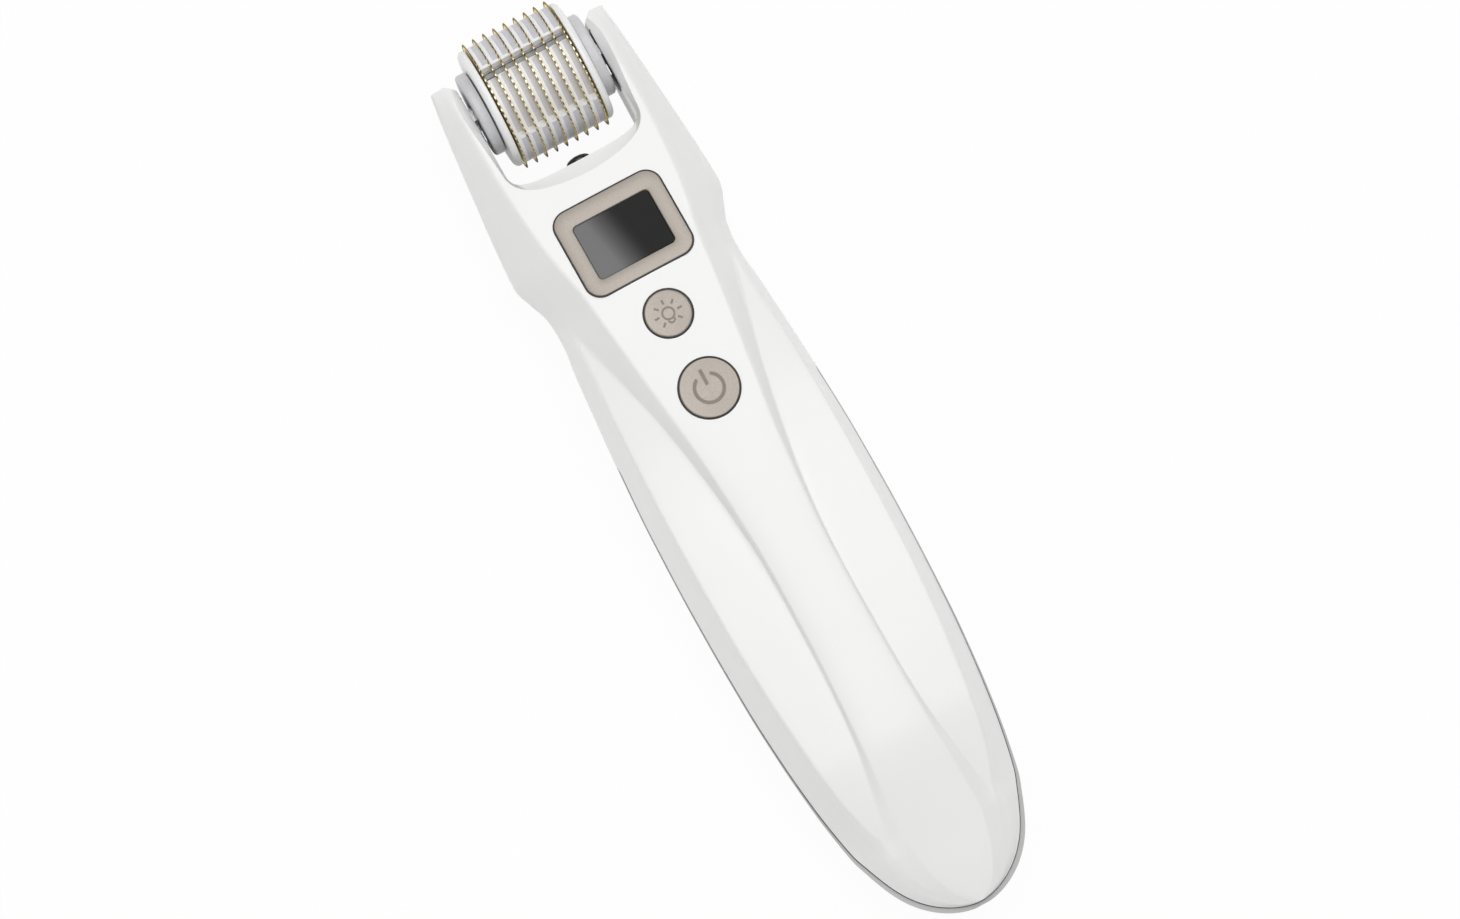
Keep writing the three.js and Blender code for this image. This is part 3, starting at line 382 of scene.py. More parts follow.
def bend(before, corner, after, radius, steps):
    """The round that takes the place of a corner, from one side to the other."""
    one, two = before - corner, after - corner
    reach = min(radius, ROUND_SHARE * one.length, ROUND_SHARE * two.length)
    start, end = corner + one.normalized() * reach, corner + two.normalized() * reach
    shares = [k / steps for k in range(steps + 1)]
    return [start * (1 - t) ** 2 + corner * 2 * t * (1 - t) + end * t**2 for t in shares]


def softened(corners, reaches, parts):
    """The polyline with each inner corner rounded over its reach, its straight pieces in parts."""
    rounds = [
        bend(*corners[i - 1:i + 2], reaches[i], BEND_STEPS) for i in range(1, len(corners) - 1)
    ]
    points = [corners[0]]
    for i, arc_points in enumerate([*rounds, [corners[-1]]]):
        last = points[-1]
        points += [last.lerp(arc_points[0], k / parts[i]) for k in range(1, parts[i])]
        points += arc_points
    return points


def rounded(profile, radius, steps=4):
    """A closed outline with its corners rounded."""
    corners = [Vector(p) for p in profile]
    made = []
    for i, corner in enumerate(corners):
        made += bend(corners[i - 1], corner, corners[(i + 1) % len(corners)], radius, steps)
    return made


def around(sides):
    """The angles of a full turn in equal steps."""
    return [2 * math.pi * i / sides for i in range(sides)]


def rounded_rectangle(width, length, corner, middle_y=0):
    """The outline of a rectangle with round corners."""
    points = []
    steps = 10
    for cx, cy, turn in ((1, 1, 0), (-1, 1, 90), (-1, -1, 180), (1, -1, 270)):
        centre = Vector((cx * (width / 2 - corner), middle_y + cy * (length / 2 - corner)))
        for i in range(steps + 1):
            angle = math.radians(turn + 90 * i / steps)
            points.append(centre + Vector((math.cos(angle), math.sin(angle))) * corner)
    return points


# Meshes: made in millimetres, kept in metres

# Points nearer than this, in metres, are one
WELD = 1e-7
# How near a cut face lies to the face it comes from, and how well the two directions agree
SAME_FACE = 0.02 * MM
SAME_WAY = 0.8
TINY_FACE = (0.01 * MM) ** 2
# How far towards its face's middle a corner's shading is read
INWARDS = 0.02
# Edges sharper than this angle stay sharp: on the shells, the drum, turned pieces, and others
SHELL_SMOOTH = 28
DRUM_SMOOTH = 30
TURNED_SMOOTH = 35
PLAIN_SMOOTH = 40
# Into how many sides a round piece is split
SMALL_ROUND = 48
LENS_ROUND = 64
CORE_ROUND = 96
CAP_ROUND = 128
PLATE_ROUND = 144
# Longer than the device is wide, for tools, and the radius of a turned piece's closed middle
WIDE = 60
MIDDLE = 0.001


def piece(name, points, faces, smooth=PLAIN_SMOOTH):
    """An object from points in millimetres, its faces turned outwards, smooth up to an angle."""
    mesh = bpy.data.meshes.new(name)
    mesh.from_pydata([Vector(p) * MM for p in points], [], faces)
    work = bmesh.new()
    work.from_mesh(mesh)
    bmesh.ops.remove_doubles(work, verts=work.verts, dist=WELD)
    bmesh.ops.recalc_face_normals(work, faces=work.faces)
    work.to_mesh(mesh)
    work.free()
    made = bpy.data.objects.new(name, mesh)
    bpy.context.scene.collection.objects.link(made)
    shade(made, smooth)
    return made


def shade(thing, smooth):
    """Smooth shading, with edges sharper than an angle left sharp."""
    thing.data.shade_smooth()
    thing.data.set_sharp_from_angle(angle=math.radians(smooth))


def uncut(thing, facing):
    """A copy of a shell or a tool from before a cut, and which way its faces look."""
    return bpy.data.objects.new("uncut", thing.data.copy()), facing


def shading_of(source, facing):
    """The faces of an uncut shell or tool, which is used up, for keep_shading."""
    mesh = source.data
    normals, spots = [], []
    for face in mesh.polygons:
        normals.append([mesh.corner_normals[i].vector * facing for i in face.loop_indices])
        spots.append([mesh.vertices[i].co.copy() for i in face.vertices])
    tree = BVHTree.FromPolygons(
        [v.co for v in mesh.vertices], [list(face.vertices) for face in mesh.polygons])
    bpy.data.objects.remove(source)
    bpy.data.meshes.remove(mesh)
    return tree, facing, normals, spots


def keep_shading(thing, sources):
    """Gives each face the shading of the uncut face it comes from, with sharp edges between."""
    known = [shading_of(*source) for source in sources]
    mesh = thing.data
    shade(thing, SHELL_SMOOTH)
    shading = [Vector((0, 0, 0))] * len(mesh.loops)
    origin = []
    for face in mesh.polygons:
        nearest, best = SAME_FACE, None
        for k, (tree, facing, _, _) in enumerate(known):
            _, normal, _, distance = tree.find_nearest(face.center)
            agrees = normal.dot(face.normal) * facing > SAME_WAY or face.area < TINY_FACE
            if distance < nearest and agrees:
                nearest, best = distance, k
        origin.append(best)
        if best is None:
            continue
        tree, _, normals, spots = known[best]
        for loop in face.loop_indices:
            corner = mesh.vertices[mesh.loops[loop].vertex_index].co
            near, _, index, _ = tree.find_nearest(corner.lerp(face.center, INWARDS))
            shares = poly_3d_calc(spots[index], near)
            mixed = sum((n * w for n, w in zip(normals[index], shares)), Vector())
            shading[loop] = mixed.normalized()
    sides = {}
    for face in mesh.polygons:
        for key in face.edge_keys:
            sides.setdefault(key, []).append(origin[face.index])
    for edge in mesh.edges:
        if len(set(sides.get(edge.key, ()))) > 1:
            edge.use_edge_sharp = True
    mesh.normals_split_custom_set(shading)


def in_triangles(thing):
    """Splits the faces, so that a cut leaves each of them exactly where it was."""
    work = bmesh.new()
    work.from_mesh(thing.data)
    bmesh.ops.triangulate(work, faces=work.faces)
    work.to_mesh(thing.data)
    work.free()
    return thing


def loft(name, rings, smooth=PLAIN_SMOOTH, closed=False):
    """A skin through rings of points, its ends filled, or joined to each other if closed."""
    count = len(rings[0])
    points = [p for ring in rings for p in ring]
    faces = []
    spans = len(rings) if closed else len(rings) - 1
    for i in range(spans):
        for k in range(count):
            a, b = i * count + k, i * count + (k + 1) % count
            c, d = (b + count) % len(points), (a + count) % len(points)
            faces.append((a, b, c, d))
    if not closed:
        faces.append(tuple(range(count))[::-1])
        faces.append(tuple(range(len(points) - count, len(points))))
    return piece(name, points, faces, smooth)


def combine(thing, tool, operation="DIFFERENCE"):
    """Cuts or joins with another closed piece, which is used up."""
    step = thing.modifiers.new("boolean", "BOOLEAN")
    step.object = tool
    step.operation = operation
    step.solver = "MANIFOLD"
    bpy.context.view_layer.update()
    graph = bpy.context.evaluated_depsgraph_get()
    made = bpy.data.meshes.new_from_object(thing.evaluated_get(graph))
    thing.modifiers.clear()
    old = thing.data
    thing.data = made
    bpy.data.meshes.remove(old)
    bpy.data.objects.remove(tool)
    return thing


def joined(name, parts):
    """Several pieces as one object."""
    whole = parts[0]
    for part in parts[1:]:
        combine(whole, part, "UNION")
    whole.name = name
    shade(whole, PLAIN_SMOOTH)
    return whole


def turned(name, profile, place, sides=CORE_ROUND):
    """A ring turned from a closed outline of (radius, along) about Z, then put in place."""
    rings = []
    for a in around(sides):
        x, y = math.cos(a), math.sin(a)
        rings.append([place @ Vector((r * x, r * y, along)) for r, along in profile])
    return loft(name, rings, TURNED_SMOOTH, closed=True)


def bar(radius, start, end, sides=SMALL_ROUND, name="tool"):
    """A closed round bar from one point to another."""
    start, end = Vector(start), Vector(end)
    turn = (end - start).to_track_quat("Z", "Y").to_matrix()
    edge = [turn @ Vector((radius * math.cos(a), radius * math.sin(a), 0)) for a in around(sides)]
    return loft(name, [[centre + p for p in edge] for centre in (start, end)])


def block(size, centre, place=Matrix()):
    """A block of a width, length and height, in place."""
    width, length, height = (v / 2 for v in size)
    base = [Vector((x * width, y * length, 0)) for x, y in ((-1, -1), (1, -1), (1, 1), (-1, 1))]
    return loft("tool", [
        [place @ (p + Vector(centre) + Vector((0, 0, h))) for p in base] for h in (-height, height)
    ])


def slab(outline, low, high, place=Matrix()):
    """A plate of a flat outline between two heights."""
    return loft("tool", [[place @ Vector((*p, z)) for p in outline] for z in (low, high)])


# Colours and finishes

# Where a grain's noise turns from the dark colour to the light one
GRAIN_ENDS = (0.3, 0.7)


def colour(hex_text):
    """The linear colour of an sRGB hex value."""
    channels = [int(hex_text[i:i + 2], 16) / 255 for i in (1, 3, 5)]
    return (*[c / 12.92 if c <= 0.04045 else ((c + 0.055) / 1.055) ** 2.4 for c in channels], 1)


def add(tree, kind, links=None, **settings):
    """Adds a node, with its settings, and its sockets linked or given a value."""
    node = tree.nodes.new(kind)
    for name, value in settings.items():
        setattr(node, name, value)
    for socket, value in (links or {}).items():
        if isinstance(value, bpy.types.NodeSocket):
            tree.links.new(value, node.inputs[socket])
        else:
            node.inputs[socket].default_value = value
    return node


def finish(name, dark, light, roughness, grain, bump, **surface):
    """A material whose colour, roughness and surface vary with a grain of a real size in mm."""
    material = bpy.data.materials.new(name)
    material.use_nodes = True
    tree = material.node_tree
    shader = tree.nodes["Principled BSDF"]
    place = add(tree, "ShaderNodeTexCoord").outputs["Object"]
    noise = add(tree, "ShaderNodeTexNoise", {
        "Vector": place, "Scale": 1 / (grain * MM), "Detail": 3,
    }).outputs["Fac"]
    ramp = add(tree, "ShaderNodeValToRGB", {"Fac": noise})
    for element, hex_text, position in zip(ramp.color_ramp.elements, (dark, light), GRAIN_ENDS):
        element.color = colour(hex_text)
        element.position = position
    tree.links.new(ramp.outputs["Color"], shader.inputs["Base Color"])
    gloss = add(tree, "ShaderNodeMapRange", {
        "Value": noise, "To Min": roughness[0], "To Max": roughness[1],
    })
    tree.links.new(gloss.outputs["Result"], shader.inputs["Roughness"])
    if bump:
        relief = add(tree, "ShaderNodeBump", {
            "Height": noise, "Distance": bump * MM, "Strength": 1.0,
        })
        tree.links.new(relief.outputs["Normal"], shader.inputs["Normal"])
    for socket, value in surface.items():
        shader.inputs[socket.replace("_", " ")].default_value = value
    return material


# Gloss-moulded white ABS: soft, even highlights with hardly any orange peel
white_abs = finish(
    "gloss moulded white ABS", "#f8f8f7", "#f9f9f8", (0.25, 0.28), 14, 0.0005, IOR=1.54)
# Light grey of the rear shell, partly its own colour and partly painted shade on the rim round the
# tail
grey_abs = finish(
    "gloss moulded light grey ABS", "#b4b4b4", "#b8b8b8", (0.28, 0.31), 14, 0.0005, IOR=1.54)
# Satin white polycarbonate of the roller: matt enough to take no mirror highlights
white_pc = finish(
    "satin moulded white polycarbonate", "#f9f9f9", "#fcfcfc", (0.34, 0.42), 1.2, 0.003, IOR=1.58)
# The spacers' is a touch cooler; the pale grey bands on them are painted shade on one side of each
# spacer
spacer_pc = finish(
    "satin moulded cool white polycarbonate", "#f8f8fb", "#fcfcfe", (0.34, 0.42), 1.2, 0.003,
    IOR=1.58)
shade_grey_pc = finish(
    "pale grey polycarbonate for painted shade", "#d0cfd5", "#d8d7dd", (0.34, 0.42), 1.2, 0.003,
    IOR=1.58)
# Painted shade: milky grey strips on the drum below the blocks' ends, where they cast shadow
shade_strip_pc = finish(
    "grey polycarbonate for painted shade strips", "#98989c", "#a4a4a8", (0.4, 0.5), 0.8, 0.003, IOR=1.58)
# Vacuum-metallised core: a pearly, silky sheen
pearl = finish(
    "pearl metallised polycarbonate", "#cfccca", "#e2dfdd", (0.22, 0.3), 2.5, 0.002, Metallic=0.45)
# Satin grey polycarbonate of the end hubs: a plain light grey with a soft highlight
grey_pc = finish(
    "satin moulded grey polycarbonate", "#cdcdcf", "#d5d5d7", (0.34, 0.42), 1.5, 0.003, IOR=1.58)
# Metallic lacquer over plastic: a dull champagne with a fine flake
champagne = finish(
    "champagne metallic lacquer", "#a59d94", "#b0a89f", (0.36, 0.44), 0.3, 0.001, Metallic=0.4)
# The same lacquer over spun caps: fine turning marks stretch the highlights into soft rays
spun_champagne = finish(
    "champagne lacquer over a spun cap", "#948d85", "#9f9890", (0.28, 0.36), 0.3, 0.001,
    Metallic=0.75, Anisotropic=0.65)
# The icons are etched through the lacquer and look a little darker
etched = finish(
    "etched champagne lacquer", "#897f76", "#938980", (0.55, 0.62), 0.3, 0.002, Metallic=0.2)
# Gold-plated stamped titanium of the needle discs: bright warm glints on thin edges
gold = finish(
    "gold-plated titanium", "#eadcae", "#f6ecc6", (0.24, 0.36), 0.5, 0.003, Metallic=1.0)
# Gold-plated contacts deep in the charging socket: a deeper yellow glint
gold_contact = finish(
    "gold-plated contacts", "#e2c46c", "#efd78a", (0.2, 0.3), 0.3, 0, Metallic=1.0)
# Matt moulded black ABS of the sockets and small inside pieces, and the drum's black lines of
# painted shade: no highlight
black_abs = finish(
    "matt moulded black ABS", "#2b2b2c", "#363637", (0.45, 0.55), 0.8, 0.004, IOR=1.54)
# Dark rubber of the rings round the display and buttons and of the bead between the shells: painted
# shade in these gaps
gap_shade_rubber = finish(
    "dark rubber for painted shade in gaps", "#343434", "#434343", (0.55, 0.65), 0.5, 0.003, IOR=1.41)
# Rolled spring steel and turned steel, bright with fine rolling marks
bright_steel = finish(
    "nickel-plated steel", "#b9b9bb", "#d2d2d4", (0.18, 0.3), 0.4, 0.002, Metallic=1.0)
# Smoked polycarbonate of the lamp's lens: nearly black, with a clear highlight
smoked_pc = finish(
    "smoked polycarbonate lens", "#17181a", "#1e1f22", (0.1, 0.14), 1.5, 0, IOR=1.58)
# Inside pieces: boards under green solder mask, and the cell's blue film with its soft gloss
solder_mask = finish(
    "green solder mask on glass fibre board", "#17502f", "#1f6b40", (0.35, 0.5), 1.1, 0.01,
    IOR=1.5)
shrink_film = finish(
    "blue shrink film on a lithium cell", "#35588a", "#3f6aa3", (0.25, 0.35), 3, 0.01, IOR=1.5)
# Smoked acrylic over an unlit display: dark, with a painted reflection of a light making it paler
# towards one side
smoked_window = finish(
    "smoked acrylic over unlit display", "#7a7a7a", "#202020", (0.05, 0.09), 5, 0, IOR=1.49,
    Specular_IOR_Level=0.1)

# Painted shade: the tooth points turn a dark bronze between these distances from the axle, for
# their dark reflections
TIP_SHADE = "#6f5a2a"
TIP_SHADE_RADII = (12.3, 12.9)
# The window's painted reflection: which way it turns darker, from where to where, and its greys on
# the way
REFLECTION_ACROSS = (0.982, 0.187, 0)
REFLECTION_ENDS = (3, 11.2)
REFLECTION_LAST = 0.96
REFLECTION_GREYS = ((0.18, "#787878"), (0.44, "#5b5b5b"), (0.7, "#393939"), (0.83, "#272727"))


def spun_marks(material):
    """Turns the stretched highlights round the middle of the piece."""
    tree = material.node_tree
    tangent = add(tree, "ShaderNodeTangent", direction_type="RADIAL", axis="Z")
    tree.links.new(tangent.outputs["Tangent"], tree.nodes["Principled BSDF"].inputs["Tangent"])


def darker_outwards(material, dark, centre, radii):
    """Paints shade: turns the colour dark with the distance from an axle along X, between two
    radii.
    """
    tree = material.node_tree
    shader = tree.nodes["Principled BSDF"]
    plain = shader.inputs["Base Color"].links[0].from_socket
    place = add(tree, "ShaderNodeTexCoord").outputs["Object"]
    offset = add(tree, "ShaderNodeVectorMath", {0: place, 1: centre}, operation="SUBTRACT")
    across = add(tree, "ShaderNodeVectorMath", {0: offset.outputs["Vector"], 1: (0, 1, 1)},
                 operation="MULTIPLY")
    radius = add(tree, "ShaderNodeVectorMath", {0: across.outputs["Vector"]}, operation="LENGTH")
    share = add(tree, "ShaderNodeMapRange", {
        "Value": radius.outputs["Value"], "From Min": radii[0] * MM, "From Max": radii[1] * MM,
    })
    mix = add(tree, "ShaderNodeMix", data_type="RGBA")
    tree.links.new(share.outputs["Result"], mix.inputs["Factor"])
    tree.links.new(plain, mix.inputs["A"])
    mix.inputs["B"].default_value = colour(dark)
    tree.links.new(mix.outputs["Result"], shader.inputs["Base Color"])


def painted_window_reflection(material):
    """Paints a reflection on the window: leads the material's two colours across it, with greys
    between them.
    """
    tree = material.node_tree
    place = add(tree, "ShaderNodeTexCoord").outputs["Object"]
    across = add(tree, "ShaderNodeVectorMath", {0: place, 1: REFLECTION_ACROSS},
                 operation="DOT_PRODUCT")
    reflection = add(tree, "ShaderNodeMapRange", {
        "Value": across.outputs["Value"], "From Min": REFLECTION_ENDS[0] * MM,
        "From Max": REFLECTION_ENDS[1] * MM,
    })
    ramp = tree.nodes["Principled BSDF"].inputs["Base Color"].links[0].from_node
    tree.links.new(reflection.outputs["Result"], ramp.inputs["Fac"])
    elements = ramp.color_ramp.elements
    elements[0].position, elements[1].position = 0, REFLECTION_LAST
    for position, grey in REFLECTION_GREYS:
        elements.new(position).color = colour(grey)


spun_marks(spun_champagne)
darker_outwards(gold, TIP_SHADE, Vector((0, AXLE_Y, AXLE_Z)) * MM, TIP_SHADE_RADII)
painted_window_reflection(smoked_window)


def dressed(thing, material, body, slot, *nodes):
    """Gives a piece its finish and the body it rides on, and hides the nodes it stands for; the
    slot is not used.
    """
    thing.data.materials.clear()
    thing.data.materials.append(material)
    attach(thing, body)
    if nodes:
        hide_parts(*nodes)


# The shells

# Rings lie this close at a shell's ends, grow apart by this share, and are never further apart
RING_GAP = 0.06
RING_GROWTH = 0.12
WIDEST_RING_GAP = 0.6
HOLLOW_RINGS = 60
HOLLOW_LEAST = 0.2
# The opening's bottom is a squarish round, and the lip's an ellipse
OPENING_POWER = 4
LIP_POWER = 2
# The step over which the ridge's slope is taken, as in the part
SLOPE_STEP = BODY_LENGTH / 33 / 2
# The two pairs of screws: how far in from the grip's side, and where along; and their bosses
SCREW_PAIRS = (("tail", 11.8, TAIL_Y + 0.183 * BODY_LENGTH), ("head", 6.9, AXLE_Y - 31))
BOSS_RADIUS = 3.6
# The charging socket's corners, as a share of its height
CHARGER_ROUND = 0.45
BUTTONS = (
    ("light", LIGHT_BUTTON_RADIUS, AXLE_Y - LIGHT_BUTTON_TO_AXLE),
    ("power", POWER_BUTTON_RADIUS, AXLE_Y - POWER_BUTTON_TO_AXLE),
)
SCREWS = [
    ("screw_%s_%s" % (end, side_name), side * (GRIP_HALF_WIDTH - inset), y)
    for end, inset, y in SCREW_PAIRS for side_name, side in SIDES
]
# The bead of painted shade in the parting line: it thins by a share between two distances from the
# tail
SEAM_SHADE_STEPS = 260
SEAM_SHADE_THINNING = 0.7
SEAM_SHADE_THINNING_ENDS = (20, 70)
SEAM_SHADE_BURIED = 0.4
SEAM_SHADE_HALF_HEIGHT = 0.1
SEAM_SHADE_EDGE = 0.02


def mirrored_ring(section, y, close_z):
    """Both halves of a section as one ring, closed on its edge at close_z."""
    right = [Vector((p.x, y, p.y + PARTING_Z)) for p in section]
    right[-1].z = close_z
    left = [Vector((-p.x, y, p.z)) for p in right[1:]]
    return right + left[::-1]


def shell_body(name, section_at, close_z, first):
    """A shell's whole outside, with its rings closer together near both ends."""
    distances = []
    place = first
    while place < BODY_LENGTH:
        distances.append(place)
        near_end = min(place - first, BODY_LENGTH - place)
        place += min(WIDEST_RING_GAP, RING_GAP + near_end * RING_GROWTH)
    distances.append(BODY_LENGTH)
    rings = [mirrored_ring(section_at(d), TAIL_Y + d, close_z) for d in distances]
    return in_triangles(loft(name, rings, SHELL_SMOOTH))


def shell_hollow(section_at, first, side):
    """The room inside a shell: its section drawn in by the wall."""
    last = CAVITY_HEAD_Y - TAIL_Y
    rings = []
    for i in range(HOLLOW_RINGS + 1):
        d = first + (last - first) * i / HOLLOW_RINGS
        drawn = [Vector((max(p.x - WALL, p.x / 4), p.y - side * WALL)) for p in section_at(d)]
        drawn[0].x = 0
        drawn = [Vector((p.x, side * max(side * p.y, HOLLOW_LEAST))) for p in drawn]
        drawn[-1].y = 0
        rings.append(mirrored_ring(drawn, TAIL_Y + d, PARTING_Z - side * OVERRUN))
    return loft("tool", rings)


def opening_outline(half, length, bottom_y, power):
    """The round bottom of the opening, from its right end to its left, in even turns."""
    points = []
    steps = 48
    for i in range(steps + 1):
        angle = math.pi * i / steps
        across, down = math.cos(angle), abs(math.sin(angle))
        reach = (abs(across) ** power + down**power) ** (-1 / power)
        points.append(Vector((half * across * reach, bottom_y + length * (1 - down * reach))))
    return points


def yoke_opening():
    """The gap between the arms, wider at their tips, as a tool."""
    outline = opening_outline(ARM_INNER, CROTCH_LENGTH, CROTCH_Y, OPENING_POWER)[::-1]
    flared = ARM_INNER + TIP_FLARE
    arm = [Vector((ARM_INNER, TIP_Y - TIP_FLARE)), Vector((flared, TIP_Y))]
    arm.append(Vector((flared, BEYOND_Y)))
    outline += [*arm, *[Vector((-p.x, p.y)) for p in arm[::-1]]]
    return in_triangles(slab(outline, -OVERRUN, PARTING_Z + FRONT_HEIGHT + OVERRUN))


def yoke_lip():
    """The slope round the opening's upper edge, as a tool: wide behind the roller, narrow and
    steeper along the arms, with its lower edge falling off towards their tips."""
    steps = 28

    def level(y, ends):
        """A height that runs from the opening's bottom to the axle."""
        return PARTING_Z + ends[0] + (ends[1] - ends[0]) * (y - CROTCH_Y) / CROTCH_TO_AXLE

    def tip_fall(y):
        """How much lower the edge is near the tips."""
        return LIP_TIP_FALL * (max(y - TIP_Y + LIP_FALL_TO_TIP, 0) / LIP_FALL_TO_TIP) ** 2

    def whole(points, half):
        """The round bottom with both arms' edges."""
        arm = [Vector((half, BEYOND_Y)).lerp(points[0], k / steps) for k in range(steps)]
        return [*arm, *points, *[Vector((-p.x, p.y)) for p in arm[::-1]]]

    lower = opening_outline(ARM_INNER, CROTCH_LENGTH, CROTCH_Y, OPENING_POWER)
    upper = opening_outline(LIP_INNER, LIP_LENGTH, AXLE_Y - LIP_TO_AXLE, LIP_POWER)
    low = [
        Vector((*p, level(p.y, LIP_LOW) - tip_fall(p.y))) for p in whole(lower, ARM_INNER)
    ]
    high = [Vector((*p, level(p.y, LIP_TOP))) for p in whole(upper, LIP_INNER_AT_TIPS)]
    high = [h + (h - l) / 2 for h, l in zip(high, low)]
    return in_triangles(loft("tool", [low, high]))


def socket_piece(name, side, radius, depth, clearance):
    """A round plate in an arm's inner side, cut flat at its top, its bottom and its head end."""
    inner, outer = side * ARM_INNER, side * (ARM_INNER + depth)
    top = PARTING_Z + SOCKET_TOP + clearance
    bottom = PARTING_Z - SOCKET_BOTTOM - clearance
    end = TIP_Y - SOCKET_TO_TIP + clearance
    made = bar(radius, (inner, AXLE_Y, AXLE_Z), (outer, AXLE_Y, AXLE_Z), CAP_ROUND, name)
    kept = block((WIDE, WIDE, top - bottom), (0, end - WIDE / 2, (top + bottom) / 2))
    return combine(made, kept, "INTERSECT")


def top_place(distance):
    """Where a piece lies on the ridge: its slope and height."""
    rise = top_height(distance + SLOPE_STEP) - top_height(distance - SLOPE_STEP)
    turn = Matrix.Rotation(math.atan2(rise, SLOPE_STEP * 2), 4, "X")
    return Matrix.Translation((0, TAIL_Y + distance, PARTING_Z + top_height(distance))) @ turn


def button_seat(radius, y):
    """How far a button's flange reaches, and how high its top may come under the shell."""
    reach = radius + BUTTON_FLANGE
    distance = y - TAIL_Y
    ceiling = min(crease_height_at(distance - reach), crease_height_at(distance + reach))
    return reach, PARTING_Z + ceiling - WALL - FIT_GAP


def window_outline(grown):
    """The display window's outline, or a larger one round it."""
    width, length = (v + 2 * grown for v in WINDOW_SIZE)
    return rounded_rectangle(width, length, WINDOW_CORNER + grown, -WINDOW_DROP)


def charger_outline(grown):
    """The charging socket's outline, or a larger one round it."""
    width, height = CHARGER_SIZE[0] + grown * 2, CHARGER_SIZE[1] + grown * 2
    return rounded_rectangle(width, height, height * CHARGER_ROUND)


display_place = top_place(AXLE_TO_TAIL - DISPLAY_TO_AXLE)
charger_place = Matrix.Translation((0, TAIL_Y + CHARGER_TO_TAIL, PARTING_Z - CHARGER_DROP))
charger_place @= Matrix.Rotation(math.pi / 2, 4, "X")


def upright(radius, x, y, low, high, sides=SMALL_ROUND):
    """A round upright bar, as a tool."""
    return bar(radius, (x, y, low), (x, y, high), sides)


def hollowed(shell, section_at, start, side, bosses):
    """Takes the room inside out of a shell, and leaves the screws' bosses between two heights."""
    hollow = shell_hollow(section_at, distance_of(start), side)
    for _, x, y in SCREWS:
        combine(hollow, upright(BOSS_RADIUS, x, y, *bosses))
    combine(shell, hollow)


def seat_sockets(shell):
    """Cuts the seats of the two sockets in the arms."""
    for _, side in SIDES:
        combine(shell, socket_piece("tool", side, SOCKET_RADIUS + FIT_GAP,
                                    SOCKET_THICKNESS + FIT_GAP, FIT_GAP))


def front_shell():
    """The display side's shell, with seats for the sockets, screws, buttons, display and lens."""
    edge_z = PARTING_Z + FIT_GAP / 2
    above = PARTING_Z + FRONT_HEIGHT + OVERRUN
    shell = shell_body("front_shell_moulding", front_section, edge_z, RIM_WIDTH + TAIL_FLAT)
    opening, lip = yoke_opening(), yoke_lip()
    sources = [uncut(shell, 1), uncut(opening, -1), uncut(lip, -1)]
    hollowed(shell, front_section, FRONT_HOLLOW_START, 1, (edge_z, PARTING_Z + FRONT_HEIGHT + 1))
    combine(shell, opening)
    combine(shell, lip)
    seat_sockets(shell)
    screw_top = PARTING_Z - SCREW_SEAT_DROP + SCREW_LENGTH + FIT_GAP
    for _, x, y in SCREWS:
        combine(shell, upright(SCREW_RADIUS + FIT_GAP, x, y, PARTING_Z - OVERRUN, screw_top))
    for _, radius, y in BUTTONS:
        reach, top = button_seat(radius, y)
        bottom = top - BUTTON_COLLAR - BUTTON_TRAVEL - FIT_GAP
        combine(shell, upright(radius + BUTTON_GAP, 0, y, bottom, above, CAP_ROUND))
        combine(shell, upright(reach + FIT_GAP, 0, y, bottom, top))
    grown = FIT_GAP * 2
    width, length = (v + grown for v in DISPLAY_SIZE)
    pocket = rounded_rectangle(width, length, DISPLAY_CORNER + FIT_GAP)
    combine(shell, slab(pocket, -DISPLAY_POCKET, OVERRUN, display_place))
    combine(shell, slab(window_outline(FIT_GAP), -WALL * 2, OVERRUN, display_place))
    room = [v + grown for v in SCREEN_SIZE]
    combine(shell, block(room, (0, 0, -WALL - grown - SCREEN_SIZE[2] / 2), display_place))
    lens_z = PARTING_Z + LENS_RISE
    combine(shell, bar(LENS_RADIUS + FIT_GAP, (0, CAVITY_HEAD_Y - OVERRUN, lens_z),
                       (0, CROTCH_Y + OVERRUN, lens_z)))
    keep_shading(shell, sources)
    dressed(shell, white_abs, "handle", "white_gloss", "front_shell")


def rear_shell():
    """The belly's shell, with seats for the sockets, the screws and the charging socket."""
    edge_z = PARTING_Z - FIT_GAP / 2
    shell = shell_body("rear_shell_moulding", rear_section, edge_z, TAIL_FLAT)
    opening = yoke_opening()
    sources = [uncut(shell, 1), uncut(opening, -1)]
    hollowed(shell, rear_section, REAR_HOLLOW_START, -1, (-1, edge_z))
    combine(shell, opening)
    seat_sockets(shell)
    for _, x, y in SCREWS:
        for radius, top in (
            (SCREW_RADIUS, PARTING_Z + OVERRUN), (SCREW_HEAD_RADIUS, PARTING_Z - SCREW_SEAT_DROP),
        ):
            combine(shell, upright(radius + FIT_GAP, x, y, -OVERRUN, top))
    combine(shell, slab(
        charger_outline(FIT_GAP), -CHARGER_SIZE[2] - OVERRUN, OVERRUN, charger_place))
    keep_shading(shell, sources)
    dressed(shell, grey_abs, "handle", "rear_gloss", "rear_shell")


